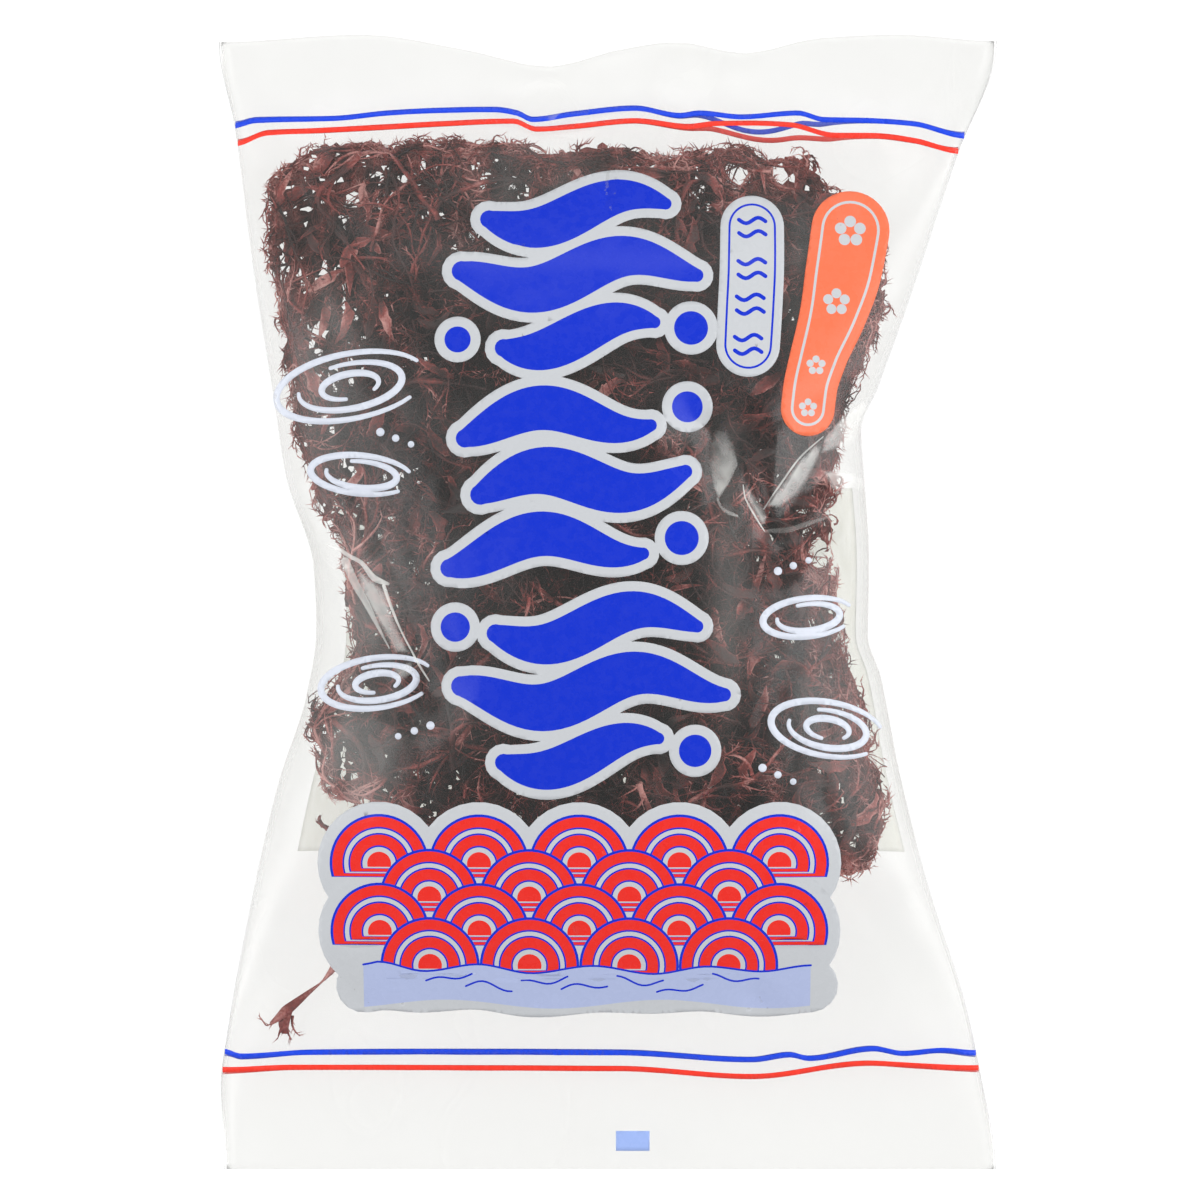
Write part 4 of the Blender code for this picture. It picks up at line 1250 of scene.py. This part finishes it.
def grown(dice, clump, look):
    """The strands of one clump, as batches, and its blades."""
    (left, right), (bottom, top) = MASS_ACROSS, MASS_ALONG
    spots = np.stack([dice.uniform(left, right, SPOTS), dice.uniform(bottom, top, SPOTS)], -1)
    spots = spots[nearest_clump(*spots.T) == clump]
    each = (right - left) * (top - bottom) / SPOTS
    depth = lobed(*spots.T)
    roots = spots[depth > 1.5]
    edge = spots[(depth > 0.5) & (depth < 6)]
    area = len(roots) * each
    lines = [*stems(dice, roots, area, look), fringe(dice, edge, len(edge) * each, clump, look)]
    return lines, blades(dice, roots, area, look)


def matted(x, y):
    """How far points lie inside the matted core, which has pinholes towards the edge of the mass."""
    return np.minimum(lobed(x, y) - 0.7, 5 * pinholes(x, y))


def matted_core(clump):
    """Points and faces of a clump's closed, felted core, which its strands stand out of."""
    (left, right), (bottom, top) = MASS_ACROSS, MASS_ALONG
    xs, ys = np.arange(left, right, CORE_STEP), np.arange(bottom, top, CORE_STEP)
    x, y = np.meshgrid(xs, ys)
    middle_x, middle_y = x[:-1, :-1] + CORE_STEP / 2, y[:-1, :-1] + CORE_STEP / 2
    own = nearest_clump(middle_x.ravel(), middle_y.ravel()).reshape(middle_x.shape) == clump
    rows, columns = (np.flatnonzero(own.any(axis)) for axis in (1, 0))
    cells = np.s_[rows[0]:rows[-1] + 1, columns[0]:columns[-1] + 1]
    x, y = (grid[rows[0]:rows[-1] + 2, columns[0]:columns[-1] + 2] for grid in (x, y))
    own = own[cells] & (matted(middle_x[cells], middle_y[cells]) > 0)
    depth = matted(x, y)
    east = matted(x + 0.2, y) - matted(x - 0.2, y)
    north = matted(x, y + 0.2) - matted(x, y - 0.2)
    steep = np.hypot(east, north) + 1e-6
    outside = np.clip(-depth / (steep / 0.4), 0, 0.7 * CORE_STEP)
    x = x + outside * east / steep + CORE_JITTER * noise(0.71 * x, 0.73 * y, 85)
    y = y + outside * north / steep + CORE_JITTER * noise(0.73 * x, 0.71 * y, 86)
    swell = np.sqrt(np.clip(depth / 7, 0.015, 1))
    bumps = 0.18 * noise(x / 7, y / 7, 82) + 0.08 * noise(x / 2, y / 2, 83)
    upper = level_height(x, y, 0.72 + bumps, 0.0)
    lower = level_height(x, y, 0.22, 0.0)
    middle = (upper + lower) / 2
    sheets = [np.stack([x, y, middle + (sheet - middle) * swell], -1) for sheet in (lower, upper)]
    points = np.concatenate([sheet.reshape(-1, 3) for sheet in sheets])
    index = np.arange(x.size).reshape(x.shape)
    corners = np.stack([index[:-1, :-1], index[:-1, 1:], index[1:, 1:], index[1:, :-1]], -1)
    faces = [*(corners[own] + x.size).tolist(), *corners[own][:, ::-1].tolist()]
    padded = np.pad(own, 1)
    for side, (rows, columns) in enumerate(((-1, 0), (0, 1), (1, 0), (0, -1))):
        neighbour = np.roll(padded, (-rows, -columns), (0, 1))[1:-1, 1:-1]
        bare = corners[own & ~neighbour]
        first, second = bare[:, side], bare[:, (side + 1) % 4]
        faces += np.stack([first, second, second + x.size, first + x.size], -1).tolist()
    used, faces = np.unique(np.array(faces), return_inverse=True)
    return points[used], faces.reshape(-1, 4)


def line_mesh(name, batches):
    """The strands as lines of a mesh, with their widths, redness and twist as attributes."""
    points = np.concatenate([batch["points"].reshape(-1, 3) for batch in batches])
    edges, first = [], 0
    for batch in batches:
        count, steps = batch["half_width"].shape
        index = np.arange(first, first + count * steps).reshape(count, steps)
        edges.append(np.stack([index[:, :-1].ravel(), index[:, 1:].ravel()], -1))
        first += count * steps
    mesh = bpy.data.meshes.new(name)
    mesh.from_pydata((points * MM).tolist(), np.concatenate(edges).tolist(), [])
    for key, unit in (("half_width", MM), ("redness", 1.0), ("twist", 1.0)):
        store(mesh, key, "POINT", np.concatenate([batch[key].ravel() for batch in batches]) * unit)
    return mesh


def frond_tree():
    """Geometry Nodes: flat stems along the lines, with short pointed branchlets at their sides."""
    tree = bpy.data.node_groups.get("Dried fronds")
    if tree:
        return tree
    tree = bpy.data.node_groups.new("Dried fronds", "GeometryNodeTree")
    tree.is_modifier = True
    for label, kind in (("Geometry", "Geometry"), ("Flatness", "Float"), ("Branchlet Length", "Float"),
                        ("Branchlet Width", "Float"), ("Branchlet Share", "Float"), ("Seed", "Int"),
                        ("Material", "Material")):
        tree.interface.new_socket(label, in_out="INPUT", socket_type="NodeSocket" + kind)
    tree.interface.new_socket("Geometry", in_out="OUTPUT", socket_type="NodeSocketGeometry")
    given, result = node(tree, "NodeGroupInput"), node(tree, "NodeGroupOutput")

    def stored(name):
        kind = "GeometryNodeInputNamedAttribute"
        return node(tree, kind, {"Name": name}, data_type="FLOAT").outputs[0]

    def chance(low, high, salt):
        seed = node(tree, "FunctionNodeIntegerMath", {0: given.outputs["Seed"], 1: salt}).outputs[0]
        return node(tree, "FunctionNodeRandomValue", {2: low, 3: high, "Seed": seed}).outputs[1]

    curve = node(tree, "GeometryNodeMeshToCurve", {"Mesh": given.outputs["Geometry"]}).outputs[0]
    curve = node(tree, "GeometryNodeSetCurveTilt", {"Curve": curve, "Tilt": stored("twist")}).outputs[0]
    section = node(tree, "GeometryNodeCurvePrimitiveCircle", {"Resolution": 3, "Radius": 1.0}).outputs[0]
    flat = node(tree, "ShaderNodeCombineXYZ", {0: 1.0, 1: given.outputs["Flatness"], 2: 1.0}).outputs[0]
    section = node(tree, "GeometryNodeTransform", {"Geometry": section, "Scale": flat}).outputs[0]
    stems = node(tree, "GeometryNodeCurveToMesh", {
        "Curve": curve, "Profile Curve": section, "Scale": stored("half_width"),
        "Fill Caps": True}).outputs[0]

    spots = node(tree, "GeometryNodeCurveToPoints", {"Curve": curve}, mode="EVALUATED")
    sideways = scaled(tree, spots.outputs["Normal"], maths(tree, "SIGN", chance(-1.0, 1.0, 1)))
    forward = scaled(tree, spots.outputs["Tangent"], chance(0.5, 1.8, 2))
    pointing = summed(tree, sideways, forward)
    turn = node(tree, "FunctionNodeAlignRotationToVector", {"Vector": pointing}, axis="Z").outputs[0]
    cone = node(tree, "GeometryNodeMeshCone", {
        "Vertices": 3, "Side Segments": 1, "Fill Segments": 1, "Radius Bottom": 1.0,
        "Depth": 1.0}).outputs[0]
    reach = maths(tree, "MULTIPLY", given.outputs["Branchlet Length"], chance(0.4, 1.3, 3))
    width = maths(tree, "MULTIPLY", given.outputs["Branchlet Width"], chance(0.7, 1.3, 4))
    size = node(tree, "ShaderNodeCombineXYZ", {0: width, 1: width, 2: reach}).outputs[0]
    wanted = node(tree, "FunctionNodeCompare", {
        0: chance(0.0, 1.0, 5), 1: given.outputs["Branchlet Share"]}, operation="LESS_THAN").outputs[0]
    twigs = node(tree, "GeometryNodeInstanceOnPoints", {
        "Points": spots.outputs["Points"], "Selection": wanted, "Instance": cone, "Rotation": turn,
        "Scale": size}).outputs[0]
    # Branchlets lighter and redder than their stems: painted light shining through them
    lighter = maths(tree, "ADD", stored("redness"), 0.16)
    inputs = {"Geometry": twigs, "Name": "redness", "Value": lighter}
    twigs = node(tree, "GeometryNodeStoreNamedAttribute", inputs, data_type="FLOAT",
                 domain="INSTANCE").outputs[0]
    joined = node(tree, "GeometryNodeJoinGeometry")
    for part in (stems, twigs):
        tree.links.new(part, joined.inputs[0])
    real = node(tree, "GeometryNodeRealizeInstances", {"Geometry": joined.outputs[0]}).outputs[0]
    done = node(tree, "GeometryNodeSetMaterial", {
        "Geometry": real, "Material": given.outputs["Material"]}).outputs[0]
    tree.links.new(done, result.inputs[0])
    return tree


def fronds(name, batches, look, seed, branchlet_share):
    """A plain mesh of stems and branchlets along the batches' lines."""
    guide = linked(name, line_mesh(name, batches))
    tree = frond_tree()
    modifier = guide.modifiers.new("Fronds", "NODES")
    modifier.node_group = tree
    values = {"Flatness": look.flatness, "Branchlet Length": look.branchlet_length,
              "Branchlet Width": look.branchlet_width, "Branchlet Share": branchlet_share, "Seed": seed,
              "Material": seaweed_material(look)}
    for item in tree.interface.items_tree:
        if item.in_out == "INPUT" and item.name in values:
            modifier[item.identifier] = values[item.name]
    bpy.context.view_layer.update()
    graph = bpy.context.evaluated_depsgraph_get()
    mesh = bpy.data.meshes.new_from_object(guide.evaluated_get(graph))
    guide.modifiers.clear()
    mesh.materials.clear()
    mesh.materials.append(seaweed_material(look))
    guide.data = mesh
    mesh.shade_smooth()
    return guide


def clumps(look):
    """The six clumps of fronds, one piece for each packed clump."""
    for number, clump in enumerate(CLUMP_MIDDLES):
        dice = np.random.default_rng(look.seed + number)
        lines, sheets = grown(dice, number, look)
        piece = fronds(clump.replace("seaweed", "fronds"), lines, look, number, look.branchlet_share)
        add_part(piece, *sheets, seaweed_material(look))
        core_points, core_faces = matted_core(number)
        # The core's red tone: its own red streaks, and a painted glow of light through its thin edge
        red_tone = np.clip(0.24 + 1.4 * patchy(*core_points[:, :2].T), 0, 1)
        add_part(piece, core_points, core_faces, red_tone, felt_material(look))
        finish_piece(piece, "seaweed", clump)


def add_part(piece, points, faces, redness, material):
    """Joins closed shapes with a material and a redness of their own to a clump's mesh."""
    added = mesh_piece(piece.name + "_part", points, faces.tolist(), [])
    mesh = piece.data
    earlier_faces, earlier_points = len(mesh.polygons), len(mesh.vertices)
    slots = np.zeros(earlier_faces, np.int32)
    mesh.polygons.foreach_get("material_index", slots)
    joined = bmesh.new()
    for part in (piece, added):
        joined.from_mesh(part.data)
    joined.to_mesh(mesh)
    joined.free()
    bpy.data.objects.remove(added)
    if material.name not in mesh.materials:
        mesh.materials.append(material)
    slot = mesh.materials.find(material.name)
    slots = np.concatenate([slots, np.full(len(mesh.polygons) - earlier_faces, slot, np.int32)])
    mesh.polygons.foreach_set("material_index", slots)
    stored = mesh.attributes["redness"]
    values = np.empty(len(mesh.vertices), np.float32)
    stored.data.foreach_get("value", values)
    values[earlier_points:] = redness
    stored.data.foreach_set("value", values)


def loose_batch(branches, number):
    """The branches of a loose piece, lying on the back film."""
    batches = []
    for points, widths in branches:
        x, y, half = resampled(points, widths, np.linspace(0, 1, 4 * len(points)))
        lift = 1.5 + 0.5 * noise(x / 3, y / 3 + number, 71)
        z = film_height(0, x, y) + lift * slant(0, x, y)
        batches.append({"points": np.stack([x, y, z], -1)[None], "half_width": half[None],
                        "redness": np.full((1, len(x)), LOOSE_REDNESS),
                        "twist": 0.1 * noise(x / 4, y / 4, 72)[None]})
    return batches


def loose_pieces(look):
    """The sprig and the crumbs that lie alone in the bag."""
    for number, (name, branches) in enumerate(LOOSE_PIECES.items()):
        batches = loose_batch(branches, number)
        piece = fronds(name + "_fronds", batches, look, 90 + number, LOOSE_BRANCHLETS)
        finish_piece(piece, "seaweed", name)


def softbox(name, location, size, strength):
    light = bpy.data.lights.new(name, "AREA")
    light.shape = "RECTANGLE"
    light.size, light.size_y = size
    light.energy = strength * math.pi * size[0] * size[1]
    made = linked(name, light)
    made.location = location
    made.rotation_euler = (Vector((0, 0, 0.02)) - Vector(location)).to_track_quat("-Z", "Y").to_euler()


def studio_floor(look):
    """A wide pale sheet with a faint tooth, under the bag."""
    made, tree = new_material("studio_paper")
    tooth = ranged(tree, speckle(tree, coordinates(tree), 700.0, 1.0), 0.3, 0.7, 0.0, 1.0)
    paper = principled(tree, blended(tree, tooth, look.floor_colour, look.floor_shade), Roughness=0.9,
                       Specular_IOR_Level=0.1, Emission_Color=(1, 1, 1, 1),
                       Emission_Strength=look.floor_glow)
    finished(made, paper)
    half = look.floor_size / MM / 2
    corners = [(x * half, y * half, FLOOR_HEIGHT) for x, y in ((-1, -1), (1, -1), (1, 1), (-1, 1))]
    mesh_piece("studio_floor", corners, [(0, 1, 2, 3)], [made])


def camera(look):
    data = bpy.data.cameras.new("camera")
    data.lens, data.sensor_width = look.lens, SENSOR
    data.clip_start, data.clip_end = 0.05, 30
    made = linked("camera", data)
    away = VIEW_WIDTH / 2 / (SENSOR / 2 / look.lens)
    made.location = Vector(VIEW_MIDDLE) + Vector((0, 0, away))
    bpy.context.scene.camera = made


def studio(look):
    """Floor, world light, softboxes and the camera straight above the bag."""
    scene = bpy.context.scene
    world = bpy.data.worlds.new("studio")
    world.use_nodes = True
    background = world.node_tree.nodes["Background"]
    background.inputs["Color"].default_value = (1, 1, 1, 1)
    background.inputs["Strength"].default_value = look.world_light
    scene.world = world
    scene.view_settings.view_transform = "Standard"
    scene.cycles.transparent_max_bounces = look.see_through_depth
    scene.cycles.max_bounces = look.light_bounces
    scene.cycles.diffuse_bounces = scene.cycles.glossy_bounces = 1
    scene.cycles.caustics_reflective = scene.cycles.caustics_refractive = False
    studio_floor(look)
    for name, location, size, share in SOFTBOXES:
        softbox(name, location, size, look.softbox_light * share)
    camera(look)


def number_property(name, description, default, **more):
    return bpy.props.FloatProperty(name=name, description=description, default=default, **more)


def count_property(name, description, default):
    return bpy.props.IntProperty(name=name, description=description, default=default)


def size_property(name, description, default):
    return number_property(name, description, default, subtype="DISTANCE", unit="LENGTH", precision=5)


def share_property(name, description, default):
    return number_property(name, description, default, min=0.0, max=1.0, subtype="FACTOR")


def pair_property(name, description, default):
    return bpy.props.FloatVectorProperty(name=name, description=description, default=default, size=2,
                                         subtype="XYZ_LENGTH")


def colour_property(name, description, code):
    return bpy.props.FloatVectorProperty(name=name, description=description, default=hexcode(code),
                                         size=3, subtype="COLOR", min=0.0, max=1.0)


class FilmSettings(bpy.types.PropertyGroup):
    """The clear film"""
    film_wall: size_property("Wall", "Thickness of the film", 0.00012)
    film_rows: count_property("Rows", "Rings of points along the bag", 184)
    film_columns: count_property("Columns", "Points across the front", 142)
    film_tint: colour_property("Tint", "What a layer of film lets through", "F2F2F1")
    haze_colour: colour_property("Haze Colour", "Colour of the film's milky haze", "F2F2EE")
    haze: share_property("Haze", "Share of light that one layer scatters", 0.013)


class PrintSettings(bpy.types.PropertyGroup):
    """The inks on the film"""
    ink_wall: size_property("Ink Thickness", "Thickness of the printed layer", 0.00003)
    stripe_width: size_property("Stripe Width", "Width of one stripe", 0.0014)
    blue: colour_property("Blue", "Waves and lines", "002CC6")
    red: colour_property("Red", "Wave scales", "E82A20")
    bright_blue: colour_property("Bright Blue", "Blue stripes", "1A46E0")
    bright_red: colour_property("Bright Red", "Red stripes", "F53A2A")
    orange: colour_property("Orange", "The orange capsule", "EE7450")
    pale: colour_property("Pale", "Outlines and the white capsule", "C2C5C9")
    ground: colour_property("Ground", "Ground under the wave scales", "AEB9DC")
    mark: colour_property("Mark", "The registration mark", "9EB6EE")
    white: colour_property("White", "Ripples and dots", "D3D8E4")


class LabelSettings(bpy.types.PropertyGroup):
    """The paper label on the back"""
    label_wall: size_property("Wall", "Thickness of the label", 0.00022)
    label_gap: size_property("Gap", "Distance from the film to the label", 0.0003)
    label_rows: count_property("Rows", "Points along the label", 60)
    label_columns: count_property("Columns", "Points across the label", 90)
    paper: colour_property("Paper", "Colour of the paper", "FBFBF9")
    paper_fibre: colour_property("Fibre", "Colour of its fibres", "F5F5F1")
    rule: colour_property("Rules", "Colour of the ruled lines", "5A5F6A")
    see_through: share_property("Translucence", "Share of light that passes through the paper", 0.95)
    ruling: size_property("Ruling", "Distance between ruled lines", 0.007)
    frame_middle: pair_property("Box Middle", "Middle of the ruled box", (0.0, -0.018))
    frame_reach: pair_property("Box Reach", "Half width and half height", (0.045, 0.035))


class SeaweedSettings(bpy.types.PropertyGroup):
    """The dried fronds"""
    main_density: number_property("Stems", "Main stems a square millimetre", 0.056)
    fringe_density: number_property("Fringe", "Fringe tips a square millimetre", 0.35)
    blade_density: number_property("Blades", "Wide blades a square millimetre", 0.019)
    broad_share: share_property("Broad Stems", "Share of the stems that are broad and red", 0.07)
    flatness: share_property("Flatness", "Thickness of a stem as a share of its width", 0.38)
    branchlet_length: size_property("Branchlet Length", "Length of the side points", 0.0021)
    branchlet_width: size_property("Branchlet Width", "Half width at their roots", 0.00021)
    branchlet_share: share_property("Branchlet Share", "Share of places that grow one", 0.5)
    dark: colour_property("Dark", "Thick, shaded skin", "221716")
    brown: colour_property("Brown", "Most of the skin", "4C2724")
    red: colour_property("Red", "Thin skin", "8A3A34")
    # The tip colour also stands for painted light shining through thin tips and edges
    tip: colour_property("Tips", "Thinnest skin", "C68D86")
    seed: count_property("Seed", "Start of the random draws", 300)


class StageSettings(bpy.types.PropertyGroup):
    """Floor, light and camera"""
    floor_size: size_property("Floor Size", "Side of the floor", 6.0)
    floor_colour: colour_property("Floor", "Colour of the floor", "6E6E6E")
    floor_shade: colour_property("Floor Tooth", "Colour of its faint tooth", "6A6A6A")
    floor_glow: number_property("Floor Glow", "Light from the floor itself", 1.02)
    world_light: number_property("World", "Strength of the light all round", 0.55)
    softbox_light: number_property("Softboxes", "Brightness of a softbox", 4.0)
    lens: number_property("Lens", "Focal length", 220.0, subtype="DISTANCE_CAMERA", unit="CAMERA")
    see_through_depth: count_property("Clear Layers", "Layers of film seen through", 16)
    light_bounces: count_property("Light Bounces", "Most turns of a ray of light", 2)


class SeaweedBagSettings(bpy.types.PropertyGroup):
    """All settings"""
    film: bpy.props.PointerProperty(type=FilmSettings, name="Film", description="The clear film")
    ink: bpy.props.PointerProperty(type=PrintSettings, name="Print", description="The inks")
    label: bpy.props.PointerProperty(type=LabelSettings, name="Label", description="The back label")
    seaweed: bpy.props.PointerProperty(type=SeaweedSettings, name="Seaweed", description="The fronds")
    stage: bpy.props.PointerProperty(type=StageSettings, name="Stage", description="Floor, light, camera")


class BAG_OT_film(bpy.types.Operator):
    """Make the clear film bag"""
    bl_idname = "seaweed_bag.film"
    bl_label = "Film"

    def execute(self, context):
        bag_film(context.scene.seaweed_bag.film)
        return {"FINISHED"}


class BAG_OT_laps(bpy.types.Operator):
    """Lay the laps of pressed film on the bag"""
    bl_idname = "seaweed_bag.laps"
    bl_label = "Pressed Laps"

    def execute(self, context):
        pressed_laps(context.scene.seaweed_bag.film)
        return {"FINISHED"}


class BAG_OT_label(bpy.types.Operator):
    """Make the paper label on the back"""
    bl_idname = "seaweed_bag.label"
    bl_label = "Back Label"

    def execute(self, context):
        back_label(context.scene.seaweed_bag.label)
        return {"FINISHED"}


class BAG_OT_stripes(bpy.types.Operator):
    """Print the blue and red stripes round the bag"""
    bl_idname = "seaweed_bag.stripes"
    bl_label = "Stripes"

    def execute(self, context):
        stripes(context.scene.seaweed_bag.ink)
        return {"FINISHED"}


class BAG_OT_waves(bpy.types.Operator):
    """Print the column of blue waves"""
    bl_idname = "seaweed_bag.waves"
    bl_label = "Blue Waves"

    def execute(self, context):
        wave_motif(context.scene.seaweed_bag.ink)
        return {"FINISHED"}


class BAG_OT_picture(bpy.types.Operator):
    """Print the band of red wave scales"""
    bl_idname = "seaweed_bag.picture"
    bl_label = "Red Wave Scales"

    def execute(self, context):
        wave_picture(context.scene.seaweed_bag.ink)
        return {"FINISHED"}


class BAG_OT_capsules(bpy.types.Operator):
    """Print the white and the orange capsule"""
    bl_idname = "seaweed_bag.capsules"
    bl_label = "Capsules"

    def execute(self, context):
        capsules(context.scene.seaweed_bag.ink)
        return {"FINISHED"}


class BAG_OT_ripples(bpy.types.Operator):
    """Print the white ripples and dots"""
    bl_idname = "seaweed_bag.ripples"
    bl_label = "White Ripples"

    def execute(self, context):
        ripples(context.scene.seaweed_bag.ink)
        return {"FINISHED"}


class BAG_OT_eye_mark(bpy.types.Operator):
    """Print the registration mark"""
    bl_idname = "seaweed_bag.eye_mark"
    bl_label = "Registration Mark"

    def execute(self, context):
        eye_mark(context.scene.seaweed_bag.ink)
        return {"FINISHED"}


class BAG_OT_clumps(bpy.types.Operator):
    """Grow the six clumps of dried fronds"""
    bl_idname = "seaweed_bag.clumps"
    bl_label = "Seaweed"

    def execute(self, context):
        clumps(context.scene.seaweed_bag.seaweed)
        return {"FINISHED"}


class BAG_OT_loose_pieces(bpy.types.Operator):
    """Make the loose sprig and crumbs"""
    bl_idname = "seaweed_bag.loose_pieces"
    bl_label = "Loose Pieces"

    def execute(self, context):
        loose_pieces(context.scene.seaweed_bag.seaweed)
        return {"FINISHED"}


class BAG_OT_stage(bpy.types.Operator):
    """Set up the floor, the lights and the camera"""
    bl_idname = "seaweed_bag.stage"
    bl_label = "Studio"

    def execute(self, context):
        studio(context.scene.seaweed_bag.stage)
        return {"FINISHED"}


OPERATORS = (BAG_OT_stage, BAG_OT_film, BAG_OT_laps, BAG_OT_label, BAG_OT_clumps, BAG_OT_loose_pieces,
             BAG_OT_stripes, BAG_OT_waves, BAG_OT_picture, BAG_OT_capsules, BAG_OT_ripples,
             BAG_OT_eye_mark)


class BAG_PT_pieces(bpy.types.Panel):
    """Lists the operators in the sidebar"""
    bl_label = "Seaweed Bag"
    bl_space_type = "VIEW_3D"
    bl_region_type = "UI"
    bl_category = "Seaweed Bag"

    def draw(self, context):
        for operator in OPERATORS:
            self.layout.operator(operator.bl_idname)


CLASSES = (FilmSettings, PrintSettings, LabelSettings, SeaweedSettings, StageSettings, SeaweedBagSettings,
           *OPERATORS, BAG_PT_pieces)


def register():
    for made in CLASSES:
        bpy.utils.register_class(made)
    bpy.types.Scene.seaweed_bag = bpy.props.PointerProperty(type=SeaweedBagSettings)


def unregister():
    del bpy.types.Scene.seaweed_bag
    for made in reversed(CLASSES):
        bpy.utils.unregister_class(made)


def main():
    register()
    for operator in OPERATORS:
        group, action = operator.bl_idname.split(".")
        getattr(getattr(bpy.ops, group), action)()


if __name__ == "__main__":
    main()
